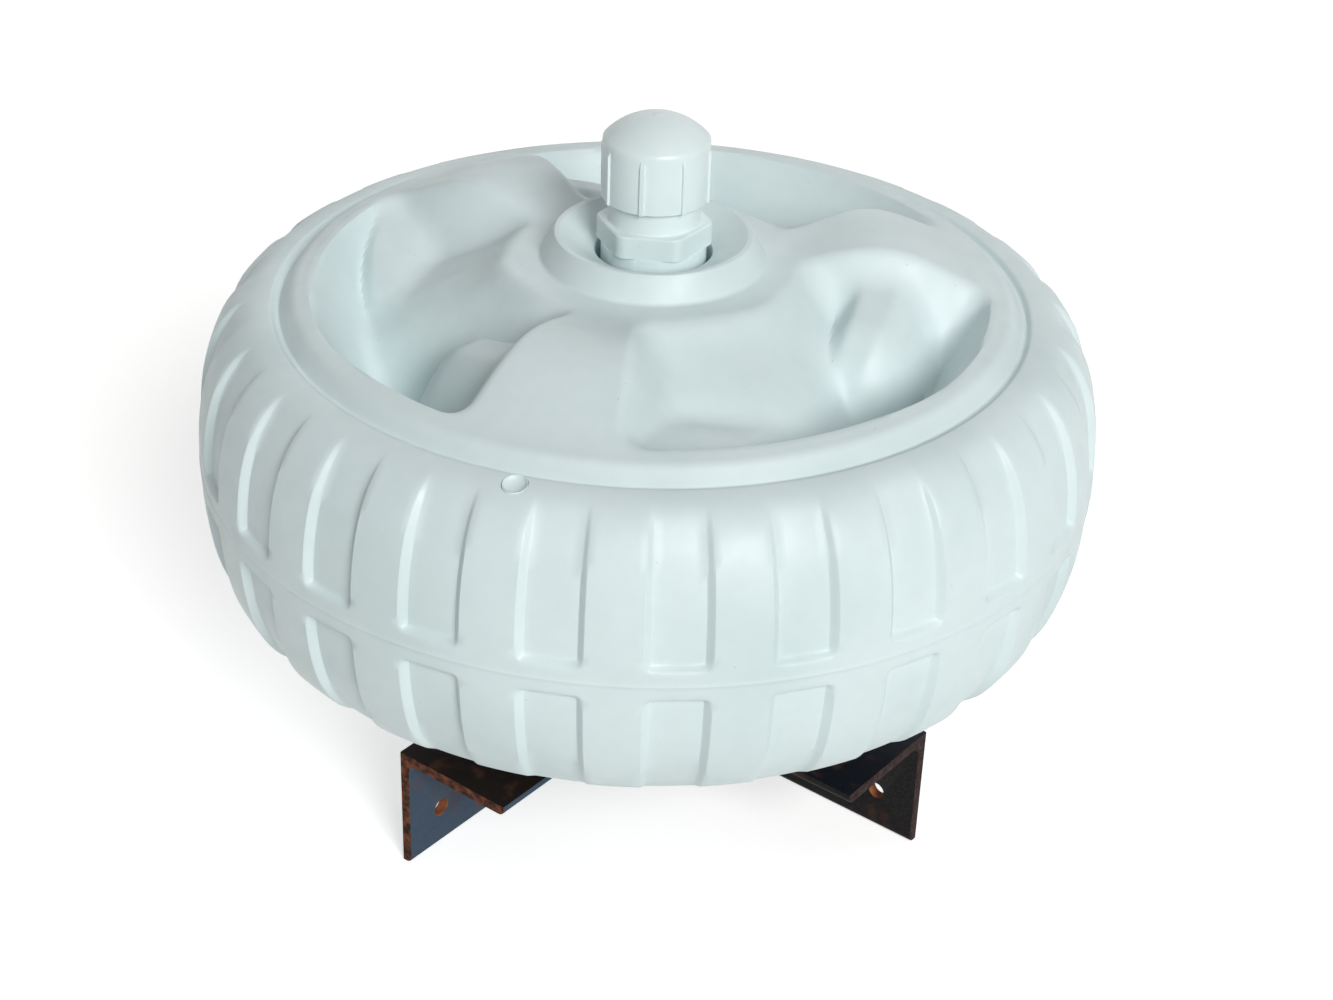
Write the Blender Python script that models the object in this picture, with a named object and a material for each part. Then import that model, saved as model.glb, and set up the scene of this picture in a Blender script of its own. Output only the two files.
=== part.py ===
"""Corner dock wheel: a moulded plastic wheel lying flat on a spindle that stands on two steel angles.

Units are metres, +Z is up. The origin is on the wheel's axle, on the underside of the angles'
horizontal legs, which is the face that sits on the dock. The right arm runs along +X and the left
arm along -Y, so the dock's corner fills the quadrant between them, below the horizontal legs.
"""
import math

import bmesh
import bpy
import numpy as np
from mathutils import Matrix, Vector

MM = 0.001
DEG = math.pi / 180.0

# Clearances
TOUCH = 0.3 * MM
BORE_PLAY = 3.3 * MM

# Steel angles of the corner bracket
LEG = 76.2 * MM
STEEL = 6.35 * MM
TOE_RADIUS = 4.0 * MM
ROOT_RADIUS = 6.0 * MM
LEFT_ARM = 206.0 * MM
RIGHT_ARM = 212.0 * MM
AXLE_INSET = 28.0 * MM
BOLT_HOLE_RADIUS = 5.0 * MM
BOLT_HOLE_EDGE = 25.4 * MM
ROOT_GAP = 3.5 * MM

# Spindle and what is stacked round its foot
SPINDLE_RADIUS = 19.0 * MM
SPINDLE_CHAMFER = 1.5 * MM
FOOT_WELD = 4.0 * MM
WASHER_THICKNESS = 4.8 * MM
WASHER_MARGIN = 3.0 * MM

# Plastic pipe, collar, adapter and cap
PIPE_RADIUS = 24.15 * MM
PIPE_WALL = 3.7 * MM
FITTING_WALL = 4.25 * MM
COLLAR_HEIGHT = 34.0 * MM
SOCKET_DEPTH = 28.0 * MM
HEX_FLATS = 56.0 * MM
HEX_CORNER_RADIUS = 31.2 * MM
HEX_HEIGHT = 12.7 * MM
HEX_TURN = -28.0 * DEG
HEX_RISE = 5.7 * MM
NECK_RADIUS = 24.9 * MM
NECK_HEIGHT = 13.2 * MM
SPIGOT_RADIUS = 23.9 * MM
SPIGOT_HEIGHT = 18.0 * MM
ADAPTER_BORE = 19.6 * MM
END_WASHER_RADIUS = 22.5 * MM
END_WASHER_THICKNESS = 3.0 * MM
END_WASHER_HOLE = 6.6 * MM
BOLT_RADIUS = 6.0 * MM
BOLT_HEAD_FLATS = 18.0 * MM
BOLT_HEAD_HEIGHT = 7.5 * MM
BOLT_LENGTH = 30.0 * MM
CAP_RADIUS = 28.9 * MM
CAP_SKIRT = 33.3 * MM
CAP_DOME = 13.0 * MM
CAP_HEADROOM = 3.0 * MM
RIB_COUNT = 8
RIB_HEIGHT = 1.2 * MM
RIB_WIDTH = 2.4 * MM
RIB_TURN = -66.3 * DEG
RIB_TOP_DROP = 4.5 * MM

# Wheel: hub
HUB_CREST = 123.3 * MM
CREST_RADIUS = 54.0 * MM
CREST_LAND = 3.0 * MM
HUB_FOOT_RADIUS = 61.5 * MM
HUB_FOOT = 109.0 * MM
DISH_DEPTH = 10.3 * MM

# Wheel: faces, with their three recesses
RIDGE_INSET = 9.0 * MM
RIDGE = 92.0 * MM
CROWN = 16.0 * MM
RECESS_COUNT = 3
RECESS_TURN = -9.4 * DEG
RECESS_HALF_ANGLE = 47.2 * DEG
RECESS_HUB_MARGIN = 17.5 * MM
RECESS_RIDGE_MARGIN = 11.0 * MM
RECESS_FLOOR = 74.0 * MM
HUB_WALL_REACH = 57.0 * MM
HUB_WALL_DEPTH = (64.0 * MM, 95.0 * MM)
HUB_WALL_TURN = (-18.0 * DEG, 14.0 * DEG)
HUB_WALL_BULGE = 4.0 * MM
HUB_WALL_BULGE_ANGLE = 14.0 * DEG
RIM_WALL_SLOPE = 1.9
END_WALL_SLOPE = 1.7
FLOOR_BLEND = 17.0 * MM
SUMP_INSET = 34.0 * MM
SUMP_TURN = 12.0 * DEG
SUMP_REACH = 30.0 * MM
SUMP_DEPTH = 18.0 * MM
END_BLEND = 24.0 * MM
HUB_LIP_BLEND = 6.0 * MM
RIM_LIP_BLEND = 4.0 * MM

# Wheel: the two lobes in each recess. Margins are shares of the recess's width from its hub side.
FIRST_LOBE = {
    "inner": -0.10,
    "outer": 1.00,
    "spread": 0.45,
    "narrow": 0.36,
    "length": 74.0 * MM,
    "drop": 12.0 * MM,
    "slope": 0.17,
    "tilt": 0.40,
    "bench": 0.60,
    "flank": 0.40,
    "crease": 0.30,
    "start": 34.0 * MM,
    "nose": 0.020,
    "skew": -0.6,
    "blend": 8.0 * MM,
}
SECOND_LOBE = {
    "inner": 0.34,
    "outer": 0.52,
    "spread": 0.0,
    "narrow": 0.10,
    "length": 40.0 * MM,
    "drop": 4.0 * MM,
    "slope": 0.25,
    "tilt": 0.05,
    "bench": 1.90,
    "flank": 0.22,
    "crease": 0.40,
    "start": 0.0 * MM,
    "nose": 0.030,
    "skew": 0.30,
    "blend": 10.0 * MM,
}
BENCH_BLEND = 5.0 * MM
CREASE_GROWTH = 20.0 * MM

# Wheel: tyre
WHEEL_RADIUS = 250.0 * MM
TYRE_BULGE = 46.0 * MM
GROOVE_DROP = 2.7 * MM
TYRE_HALF_WIDTH = 85.5 * MM
TYRE_SQUARENESS = 2.4
TREAD_COUNT = 25
TREAD_TURN = -48.0 * DEG
POCKET_DEPTH = 4.0 * MM
POCKET_WIDTH = 34.0 * MM
POCKET_WALL = 3.5 * MM
BAND_HALF_WIDTH = 7.4 * MM
VENT_TURN = -69.2 * DEG
VENT_RADIUS = 6.5 * MM
VENT_SHARE = 0.22
VENT_DEPTH = 9.0 * MM
VENT_DISH = 2.5 * MM

# Facets
FACE_COLUMNS = 120
FACE_ROWS = (-0.05, 0.04, 0.12, 0.20, 0.28, 0.36, 0.44, 0.52, 0.59, 0.66, 0.73, 0.80, 0.88, 0.96, 1.02)
HUB_COLUMNS = 48
ROUND_COLUMNS = 48
BORE_COLUMNS = 36
ARC_STEPS = 3

# Places worked out from the sizes above
CORNER_X = -AXLE_INSET
CORNER_Y = AXLE_INSET
GROOVE_RADIUS = WHEEL_RADIUS - TYRE_BULGE
RIDGE_RADIUS = GROOVE_RADIUS - RIDGE_INSET
RECESS_INNER = HUB_FOOT_RADIUS + RECESS_HUB_MARGIN
RECESS_OUTER = RIDGE_RADIUS - RECESS_RIDGE_MARGIN
SOCKET_RADIUS = PIPE_RADIUS + TOUCH + FITTING_WALL
WHEEL_BORE = SOCKET_RADIUS + BORE_PLAY
WASHER_RADIUS = CREST_RADIUS + WASHER_MARGIN
BASE_WASHER_Z = STEEL + TOUCH
LOWER_WASHER_Z = BASE_WASHER_Z + WASHER_THICKNESS + TOUCH
UPPER_WASHER_Z = LOWER_WASHER_Z + WASHER_THICKNESS + TOUCH
HUB_BASE_Z = UPPER_WASHER_Z + WASHER_THICKNESS + TOUCH
WHEEL_Z = HUB_BASE_Z + HUB_CREST
HEX_Z = WHEEL_Z + HUB_CREST - DISH_DEPTH + HEX_RISE
NECK_Z = HEX_Z + HEX_HEIGHT
CAP_Z = NECK_Z + NECK_HEIGHT
SPIGOT_TOP = CAP_Z + SPIGOT_HEIGHT
END_WASHER_Z = SPIGOT_TOP + TOUCH
BOLT_HEAD_Z = END_WASHER_Z + END_WASHER_THICKNESS + TOUCH
SPINDLE_TOP = SPIGOT_TOP - 2.0 * MM
CAP_CAVITY = BOLT_HEAD_Z + BOLT_HEAD_HEIGHT + CAP_HEADROOM - CAP_Z


def clear_scene():
    """Start from an empty file."""
    for obj in list(bpy.data.objects):
        bpy.data.objects.remove(obj, do_unlink=True)


def make_material(name, colour, roughness, metallic=0.0):
    """A plain Principled material."""
    material = bpy.data.materials.new(name)
    material.use_nodes = True
    shader = material.node_tree.nodes["Principled BSDF"]
    shader.inputs["Base Color"].default_value = (*colour, 1.0)
    shader.inputs["Roughness"].default_value = roughness
    shader.inputs["Metallic"].default_value = metallic
    return material


def add_object(name, mesh, material, parent=None):
    """Put a mesh in the scene as a smooth-shaded object with one material."""
    obj = bpy.data.objects.new(name, mesh)
    bpy.context.scene.collection.objects.link(obj)
    mesh.materials.append(material)
    mesh.shade_smooth()
    mesh.set_sharp_from_angle(angle=32.0 * DEG)
    obj.parent = parent
    return obj


def mesh_from(name, points, faces):
    """A mesh with its faces turned outwards."""
    mesh = bpy.data.meshes.new(name)
    mesh.from_pydata([tuple(map(float, p)) for p in points], [], faces)
    shape = bmesh.new()
    shape.from_mesh(mesh)
    bmesh.ops.recalc_face_normals(shape, faces=shape.faces)
    shape.to_mesh(mesh)
    shape.free()
    return mesh


def even_angles(count, start=0.0):
    """Angles of evenly spaced columns round a ring."""
    return start + np.arange(count) * 2.0 * math.pi / count


def ring(angles, radius, height):
    """One ring of points: its column angles and its points. Radius and height may vary by column."""
    radius = np.broadcast_to(radius, angles.shape)
    height = np.broadcast_to(height, angles.shape)
    points = np.stack([radius * np.cos(angles), radius * np.sin(angles), height], axis=1)
    return angles, points


def stitch(first, second, first_start, second_start):
    """Faces between two rings: quads where their columns match, otherwise triangles by angle."""
    a_angles, b_angles = first[0], second[0]
    n, m = len(a_angles), len(b_angles)
    faces = []
    if n == m:
        for i in range(n):
            j = (i + 1) % n
            faces.append((first_start + i, first_start + j, second_start + j, second_start + i))
        return faces
    i = j = 0
    while i < n or j < m:
        next_a = a_angles[(i + 1) % n] + 2.0 * math.pi * ((i + 1) // n)
        next_b = b_angles[(j + 1) % m] + 2.0 * math.pi * ((j + 1) // m)
        a_here, b_here = first_start + i % n, second_start + j % m
        if j >= m or (i < n and next_a <= next_b):
            faces.append((a_here, first_start + (i + 1) % n, b_here))
            i += 1
        else:
            faces.append((a_here, second_start + (j + 1) % m, b_here))
            j += 1
    return faces


def skin(name, rings, closed=False):
    """A closed body skinned over rings. Open stacks get a centre point at each end."""
    starts = np.cumsum([0] + [len(r[0]) for r in rings])
    points = np.concatenate([r[1] for r in rings])
    faces = []
    for k in range(len(rings) - 1):
        faces += stitch(rings[k], rings[k + 1], int(starts[k]), int(starts[k + 1]))
    if closed:
        faces += stitch(rings[-1], rings[0], int(starts[-2]), 0)
        return mesh_from(name, points, faces)
    for k in (0, len(rings) - 1):
        centre = rings[k][1].mean(axis=0)
        points = np.vstack([points, centre])
        hub = len(points) - 1
        count = len(rings[k][0])
        first = int(starts[k])
        faces += [(first + i, first + (i + 1) % count, hub) for i in range(count)]
    return mesh_from(name, points, faces)


def turned(name, profile, columns, closed=True):
    """A turned piece from its half section, a list of (radius, height)."""
    angles = even_angles(columns)
    return skin(name, [ring(angles, r, z) for r, z in profile], closed)


def fade(value, low, high):
    """0 below low, 1 above high, with an S curve between. It also falls when high is below low."""
    t = np.clip((value - low) / (high - low), 0.0, 1.0)
    return t * t * (3.0 - 2.0 * t)


def arc_points(centre, radius, start, end, steps):
    """Points on an arc, ends included."""
    turns = np.linspace(start, end, steps + 1)
    return [(centre[0] + radius * math.cos(t), centre[1] + radius * math.sin(t)) for t in turns]


def face_height(radius):
    """Height of the wheel's face above its mid-plane, before the recesses are sunk into it.

    A straight line from the hub's foot to the ridge, plus a crown that follows a squared sine.
    """
    share = (radius - HUB_FOOT_RADIUS) / (RIDGE_RADIUS - HUB_FOOT_RADIUS)
    crown = CROWN * np.sin(math.pi * np.clip(share, 0.0, 1.0)) ** 2
    return HUB_FOOT + (RIDGE - HUB_FOOT) * share + crown


def soft_min(first, second, blend):
    """The smaller of two values, rounded where they come within the blend of each other."""
    near = np.maximum(blend - np.abs(first - second), 0.0) / blend
    return np.minimum(first, second) - near * near * blend / 4.0


def lobe_depth(radius, along, lobe):
    """Depth of a lobe's skin below the face.

    The lobe starts at an end wall and falls along the recess. It is a shelf below the hub-side lip
    that falls outwards, until it meets a bench that rises to the ridge-side lip. Its flank drops
    beyond its outer edge, a crease forms on its hub side away from the end wall, and its nose drops
    past its length.
    """
    width = RECESS_OUTER - RECESS_INNER
    inner = RECESS_INNER + lobe["inner"] * width + lobe["spread"] * along
    outer = RECESS_INNER + lobe["outer"] * width - lobe["narrow"] * along
    past_outer = np.maximum(radius - outer, 0.0) / MM
    past_inner = np.maximum(inner - radius, 0.0) / MM
    reach = lobe["length"] + lobe["skew"] * (radius - (inner + outer) / 2.0)
    past_nose = np.maximum(along - reach, 0.0) / MM
    grown = fade(along, lobe["start"], lobe["start"] + CREASE_GROWTH)
    crease = lobe["crease"] * past_inner ** 1.5 * grown
    drops = lobe["flank"] * past_outer ** 1.5 + crease + lobe["nose"] * past_nose ** 2
    level = face_height(radius) - face_height(RECESS_INNER)
    shelf = level + lobe["drop"] + lobe["tilt"] * (radius - RECESS_INNER)
    bench = lobe["bench"] * (RECESS_OUTER - radius)
    return soft_min(shelf, bench, BENCH_BLEND) + lobe["slope"] * along + drops * MM


def recess_depth(radius, angle):
    """Depth of the three moulded recesses below the face.

    Each recess is the smallest of its wall, floor and lobe depths, taken softly so that all of them
    run into one another with fillets and the lip rolls over into the face. The hub wall is steepest
    at its lip and eases out like a decaying curve. A sump, a bell curve, makes the middle deepest.
    """
    pitch = 2.0 * math.pi / RECESS_COUNT
    turn = (angle - RECESS_TURN + pitch / 2.0) % pitch - pitch / 2.0
    from_first = (RECESS_HALF_ANGLE + turn) * radius
    from_second = (RECESS_HALF_ANGLE - turn) * radius
    sump_radius = RECESS_OUTER - SUMP_INSET
    bulge = HUB_WALL_BULGE * np.exp(-((turn / HUB_WALL_BULGE_ANGLE) ** 2))
    first, second = HUB_WALL_DEPTH
    full = first + (second - first) * fade(turn, *HUB_WALL_TURN)
    hub_wall = full * (1.0 - np.exp(-(radius - RECESS_INNER - bulge) / HUB_WALL_REACH))
    rim_wall = (RECESS_OUTER - radius) * RIM_WALL_SLOPE
    depth = soft_min(hub_wall, rim_wall, FLOOR_BLEND)
    depth = soft_min(depth, RECESS_FLOOR, FLOOR_BLEND)
    outwards = (radius - sump_radius) / SUMP_REACH
    sideways = (turn - SUMP_TURN) * sump_radius / SUMP_REACH
    depth = depth + SUMP_DEPTH * np.exp(-(outwards ** 2) - sideways ** 2)
    depth = soft_min(depth, from_first * END_WALL_SLOPE, END_BLEND)
    depth = soft_min(depth, from_second * END_WALL_SLOPE, END_BLEND)
    depth = soft_min(depth, lobe_depth(radius, from_first, FIRST_LOBE), FIRST_LOBE["blend"])
    depth = soft_min(depth, lobe_depth(radius, from_second, SECOND_LOBE), SECOND_LOBE["blend"])
    rimward = fade(radius, 0.4 * (RECESS_INNER + RECESS_OUTER), RECESS_OUTER)
    lip = HUB_LIP_BLEND + (RIM_LIP_BLEND - HUB_LIP_BLEND) * rimward
    return -soft_min(-depth, 0.0, lip)


def tyre_section(turn):
    """Radius and height on the tyre's section, a superellipse about the groove's radius."""
    power = 2.0 / TYRE_SQUARENESS
    radius = GROOVE_RADIUS + TYRE_BULGE * math.cos(turn) ** power
    height = TYRE_HALF_WIDTH * math.sin(turn) ** power
    return radius, height


def section_turn(height):
    """The section's turn at a height on the tyre."""
    return math.asin((height / TYRE_HALF_WIDTH) ** (TYRE_SQUARENESS / 2.0))


def tread_columns():
    """Column angles of the tread: four a pocket, on its floor's and its rim's edges."""
    floor = (POCKET_WIDTH / 2.0 - POCKET_WALL) / WHEEL_RADIUS
    rim = POCKET_WIDTH / 2.0 / WHEEL_RADIUS
    pitch = 2.0 * math.pi / TREAD_COUNT
    centres = TREAD_TURN + np.arange(TREAD_COUNT) * pitch
    edges = np.array([-rim, -floor, floor, rim])
    sunk = np.array([0.0, 1.0, 1.0, 0.0])
    return (centres[:, None] + edges).ravel(), np.tile(sunk, TREAD_COUNT)


def half_wheel_rings(side):
    """Rings of one half of the wheel, from its bore's edge out to the band. Side is 1 or -1."""
    hub = even_angles(HUB_COLUMNS)
    face = even_angles(FACE_COLUMNS)
    tread, sunk = tread_columns()
    rings = [
        ring(hub, WHEEL_BORE, side * (HUB_CREST - DISH_DEPTH)),
        ring(hub, CREST_RADIUS - CREST_LAND, side * HUB_CREST),
        ring(face, CREST_RADIUS, side * HUB_CREST),
        ring(face, HUB_FOOT_RADIUS, side * HUB_FOOT),
    ]
    rows = [RECESS_INNER + share * (RECESS_OUTER - RECESS_INNER) for share in FACE_ROWS]
    for radius in [*rows, RIDGE_RADIUS]:
        height = face_height(radius) - recess_depth(radius, face)
        rings.append(ring(face, radius, side * height))
    rings.append(ring(face, GROOVE_RADIUS, side * (TYRE_HALF_WIDTH - GROOVE_DROP)))
    wall_turn = section_turn(BAND_HALF_WIDTH)
    floor_turn = section_turn(BAND_HALF_WIDTH + POCKET_WALL)
    turns = [80.0 * DEG, 65.0 * DEG, 50.0 * DEG, 37.0 * DEG, 24.0 * DEG, 12.0 * DEG, floor_turn, wall_turn]
    for turn in turns:
        radius, height = tyre_section(turn)
        depth = POCKET_DEPTH * fade(turn, 78.0 * DEG, 52.0 * DEG) * (turn > wall_turn)
        rings.append(ring(tread, radius - depth * sunk, side * height))
    return rings


def build_wheel(material, parent):
    """The moulded wheel, one closed body with its bore, recesses and tread."""
    upper = half_wheel_rings(1.0)
    lower = half_wheel_rings(-1.0)
    wheel = add_object("wheel", skin("wheel", lower + upper[::-1], closed=True), material, parent)
    cutter = add_cutter("vent_cutter", VENT_RADIUS + TOUCH, 2.0 * VENT_DEPTH, vent_matrix(), parent)
    cut(wheel, cutter)
    return wheel


def vent_matrix():
    """Place of the vent plug: its mouth on the tyre's shoulder, its axis along the surface normal."""
    turn = math.acos(VENT_SHARE ** (TYRE_SQUARENESS / 2.0))
    radius, height = tyre_section(turn)
    step = tyre_section(turn - 1.0 * DEG)
    lean = math.atan2(height - step[1], step[0] - radius)
    place = Matrix.Rotation(VENT_TURN, 4, "Z") @ Matrix.Translation((radius, 0.0, height))
    return place @ Matrix.Rotation(lean, 4, "Y")


def build_vent_plug(material, parent):
    """The push-in plug of the moulding vent, with a dished face."""
    inner = VENT_RADIUS - 1.2 * MM
    rings = [(VENT_RADIUS, -VENT_DEPTH + TOUCH), (VENT_RADIUS, 0.0), (inner, 0.0)]
    dish = [(inner * math.cos(t), -VENT_DISH * math.sin(t)) for t in (30.0 * DEG, 60.0 * DEG)]
    profile = rings + dish
    plug = add_object("vent_plug", turned("vent_plug", profile, 24, closed=False), material, parent)
    plug.matrix_basis = vent_matrix()
    return plug


def add_cutter(name, radius, depth, matrix, parent=None):
    """A hidden cylinder for cutting a round hole."""
    shape = bmesh.new()
    bmesh.ops.create_cone(shape, cap_ends=True, segments=24, radius1=radius, radius2=radius, depth=depth)
    mesh = bpy.data.meshes.new(name)
    shape.to_mesh(mesh)
    shape.free()
    cutter = bpy.data.objects.new(name, mesh)
    bpy.context.scene.collection.objects.link(cutter)
    cutter.parent = parent
    cutter.matrix_basis = matrix
    cutter.hide_render = True
    cutter.display_type = "WIRE"
    return cutter


def add_box_cutter(name, low, high):
    """A hidden box for coping the end of an angle."""
    shape = bmesh.new()
    bmesh.ops.create_cube(shape, size=1.0)
    size = Vector(high) - Vector(low)
    bmesh.ops.scale(shape, vec=size, verts=shape.verts)
    bmesh.ops.translate(shape, vec=Vector(low) + size / 2.0, verts=shape.verts)
    mesh = bpy.data.meshes.new(name)
    shape.to_mesh(mesh)
    shape.free()
    cutter = bpy.data.objects.new(name, mesh)
    bpy.context.scene.collection.objects.link(cutter)
    cutter.hide_render = True
    cutter.display_type = "WIRE"
    return cutter


def cut(target, cutter):
    """Take the cutter out of the target."""
    modifier = target.modifiers.new(cutter.name, "BOOLEAN")
    modifier.operation = "DIFFERENCE"
    modifier.solver = "EXACT"
    modifier.object = cutter


def angle_outline():
    """Section of a rolled steel angle: heel at the top outside, rounded toes and a root fillet.

    The first coordinate runs inwards from the vertical leg's outer face, the second up from the
    underside of the horizontal leg.
    """
    low = STEEL - LEG
    outline = [(0.0, STEEL), (LEG, STEEL)]
    toe = (LEG - TOE_RADIUS, TOE_RADIUS)
    outline += arc_points(toe, TOE_RADIUS, 0.0, -90.0 * DEG, ARC_STEPS)
    root = (STEEL + ROOT_RADIUS, -ROOT_RADIUS)
    outline += arc_points(root, ROOT_RADIUS, 90.0 * DEG, 180.0 * DEG, ARC_STEPS)
    toe = (STEEL - TOE_RADIUS, low + TOE_RADIUS)
    outline += arc_points(toe, TOE_RADIUS, 0.0, -90.0 * DEG, ARC_STEPS)
    outline.append((0.0, low))
    return outline


def extruded(name, outline, start, end, place):
    """A prism between two stations. Place turns (across, up, along) into a point."""
    points = [place(a, u, start) for a, u in outline] + [place(a, u, end) for a, u in outline]
    count = len(outline)
    faces = [tuple(range(count)), tuple(range(2 * count - 1, count - 1, -1))]
    faces += [(i, (i + 1) % count, count + (i + 1) % count, count + i) for i in range(count)]
    return mesh_from(name, points, faces)


def left_place(across, up, along):
    """A station on the left arm, which runs along -Y from the corner."""
    return CORNER_X + across, CORNER_Y - along, up


def right_place(across, up, along):
    """A station on the right arm, which runs along +X from the corner."""
    return CORNER_X + along, CORNER_Y - across, up


def bolt_hole_matrix(place, arm, turn):
    """Place of a bolt hole in an arm's vertical leg, near its free end."""
    up = STEEL - LEG + BOLT_HOLE_EDGE
    centre = Vector(place(STEEL / 2.0, up, arm - BOLT_HOLE_EDGE))
    return Matrix.Translation(centre) @ turn


def build_left_angle(material):
    """The left arm, which carries the spindle on its horizontal leg."""
    mesh = extruded("left_angle", angle_outline(), STEEL + TOUCH, LEFT_ARM, left_place)
    arm = add_object("left_angle", mesh, material)
    matrix = bolt_hole_matrix(left_place, LEFT_ARM, Matrix.Rotation(90.0 * DEG, 4, "Y"))
    cut(arm, add_cutter("left_hole_cutter", BOLT_HOLE_RADIUS, 4.0 * STEEL, matrix))
    return arm


def build_right_angle(material):
    """The right arm, coped at its inner end so that it butts against the left arm."""
    start = STEEL + TOUCH
    mesh = extruded("right_angle", angle_outline(), start, RIGHT_ARM, right_place)
    arm = add_object("right_angle", mesh, material)
    matrix = bolt_hole_matrix(right_place, RIGHT_ARM, Matrix.Rotation(90.0 * DEG, 4, "X"))
    cut(arm, add_cutter("right_hole_cutter", BOLT_HOLE_RADIUS, 4.0 * STEEL, matrix))
    clear = LEG + ROOT_GAP
    low = (CORNER_X - STEEL, CORNER_Y - LEG - STEEL, -TOUCH)
    high = (CORNER_X + clear, CORNER_Y + STEEL, 2.0 * STEEL)
    cut(arm, add_box_cutter("leg_cope_cutter", low, high))
    low = (CORNER_X - STEEL, CORNER_Y - LEG - STEEL, -ROOT_RADIUS - TOUCH)
    high = (CORNER_X + STEEL + ROOT_RADIUS + TOUCH, CORNER_Y + STEEL, 2.0 * STEEL)
    cut(arm, add_box_cutter("root_cope_cutter", low, high))
    low = (CORNER_X - STEEL, CORNER_Y - LEG - STEEL, -ROOT_RADIUS - TOUCH)
    high = (CORNER_X + clear, CORNER_Y - STEEL, 2.0 * STEEL)
    cut(arm, add_box_cutter("seat_cope_cutter", low, high))
    return arm


def edge_bead_outline():
    """Section of the weld in an open corner joint: a square with its outer corner well rounded."""
    middle = STEEL / 3.0
    outline = [(0.0, 0.0), (STEEL, 0.0)]
    outline += arc_points((middle, middle), STEEL - middle, 0.0, 90.0 * DEG, 2 * ARC_STEPS)
    outline.append((0.0, STEEL))
    return outline


def build_seat_weld(material):
    """Weld metal that fills the root gap between the arms' horizontal legs, ground flush."""
    low = LEG + TOUCH
    high = LEG + ROOT_GAP - TOUCH
    outline = [(low, 0.0), (high, 0.0), (high, STEEL), (low, STEEL)]

    def place(along, up, across):
        return CORNER_X + along, CORNER_Y - across, up

    mesh = extruded("seat_weld", outline, STEEL + TOUCH, LEG - TOE_RADIUS, place)
    return add_object("seat_weld", mesh, material)


def build_corner_weld(material):
    """Upright weld in the open corner joint between the two vertical legs."""

    def place(out_left, out_back, up):
        return CORNER_X + STEEL - out_left, CORNER_Y - STEEL + out_back, up

    mesh = extruded("corner_weld", edge_bead_outline(), STEEL - LEG, STEEL, place)
    return add_object("corner_weld", mesh, material)


def build_edge_weld(material):
    """Level weld where the left arm's horizontal leg meets the top of the right arm's coped leg."""

    def place(out_back, up, along):
        return CORNER_X + along, CORNER_Y - STEEL + out_back, up

    end = LEG + ROOT_GAP - TOUCH
    mesh = extruded("edge_weld", edge_bead_outline(), STEEL + TOUCH, end, place)
    return add_object("edge_weld", mesh, material)


def build_spindle(material):
    """Round steel bar that stands on the left arm, with a tapped hole in its upper end."""
    hole = BOLT_RADIUS + TOUCH
    bottom = STEEL + TOUCH
    hole_end = BOLT_HEAD_Z - TOUCH - BOLT_LENGTH - 2.0 * MM
    profile = [
        (SPINDLE_RADIUS, bottom),
        (SPINDLE_RADIUS, SPINDLE_TOP - SPINDLE_CHAMFER),
        (SPINDLE_RADIUS - SPINDLE_CHAMFER, SPINDLE_TOP),
        (hole, SPINDLE_TOP),
        (hole, hole_end),
    ]
    return add_object("spindle", turned("spindle", profile, BORE_COLUMNS, closed=False), material)


def build_spindle_weld(material):
    """Fillet weld round the spindle's foot."""
    inner = SPINDLE_RADIUS + TOUCH
    bottom = STEEL + TOUCH
    profile = [(inner, bottom), (inner + FOOT_WELD, bottom), (inner, bottom + FOOT_WELD)]
    return add_object("spindle_weld", turned("spindle_weld", profile, BORE_COLUMNS), material)


def build_washer(name, inner, outer, bottom, thickness, columns, material):
    """A flat washer."""
    top = bottom + thickness
    profile = [(inner, bottom), (outer, bottom), (outer, top), (inner, top)]
    return add_object(name, turned(name, profile, columns), material)


def build_washers(steel, plastic):
    """The steel base washer and the two plastic thrust washers that the hub turns on."""
    weld_clear = SPINDLE_RADIUS + FOOT_WELD + 2.0 * TOUCH
    collar_clear = SOCKET_RADIUS + 1.0 * MM
    outer = WASHER_RADIUS
    thick = WASHER_THICKNESS
    build_washer("base_washer", weld_clear, outer, BASE_WASHER_Z, thick, ROUND_COLUMNS, steel)
    build_washer("lower_thrust_washer", collar_clear, outer, LOWER_WASHER_Z, thick, ROUND_COLUMNS, plastic)
    build_washer("upper_thrust_washer", collar_clear, outer, UPPER_WASHER_Z, thick, ROUND_COLUMNS, plastic)


def build_foot_collar(material):
    """Pipe collar at the sleeve's foot, which centres the lower end of the wheel's bore."""
    inner = PIPE_RADIUS + TOUCH
    bottom = BASE_WASHER_Z + WASHER_THICKNESS + TOUCH
    return build_washer("foot_collar", inner, SOCKET_RADIUS, bottom, COLLAR_HEIGHT, BORE_COLUMNS, material)


def build_sleeve(material):
    """Plastic pipe over the spindle, from the base washer up into the adapter's socket."""
    inner = PIPE_RADIUS - PIPE_WALL
    bottom = BASE_WASHER_Z + WASHER_THICKNESS + TOUCH
    length = HEX_Z - TOUCH - bottom
    return build_washer("sleeve_pipe", inner, PIPE_RADIUS, bottom, length, BORE_COLUMNS, material)


def hexagon_ring(angles, height):
    """A ring of the adapter's hexagon, its corners rounded by a circle."""
    sixth = 60.0 * DEG
    from_flat = (angles - HEX_TURN) % sixth - sixth / 2.0
    radius = np.minimum(HEX_FLATS / 2.0 / np.cos(from_flat), HEX_CORNER_RADIUS)
    return ring(angles, radius, height)


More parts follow.
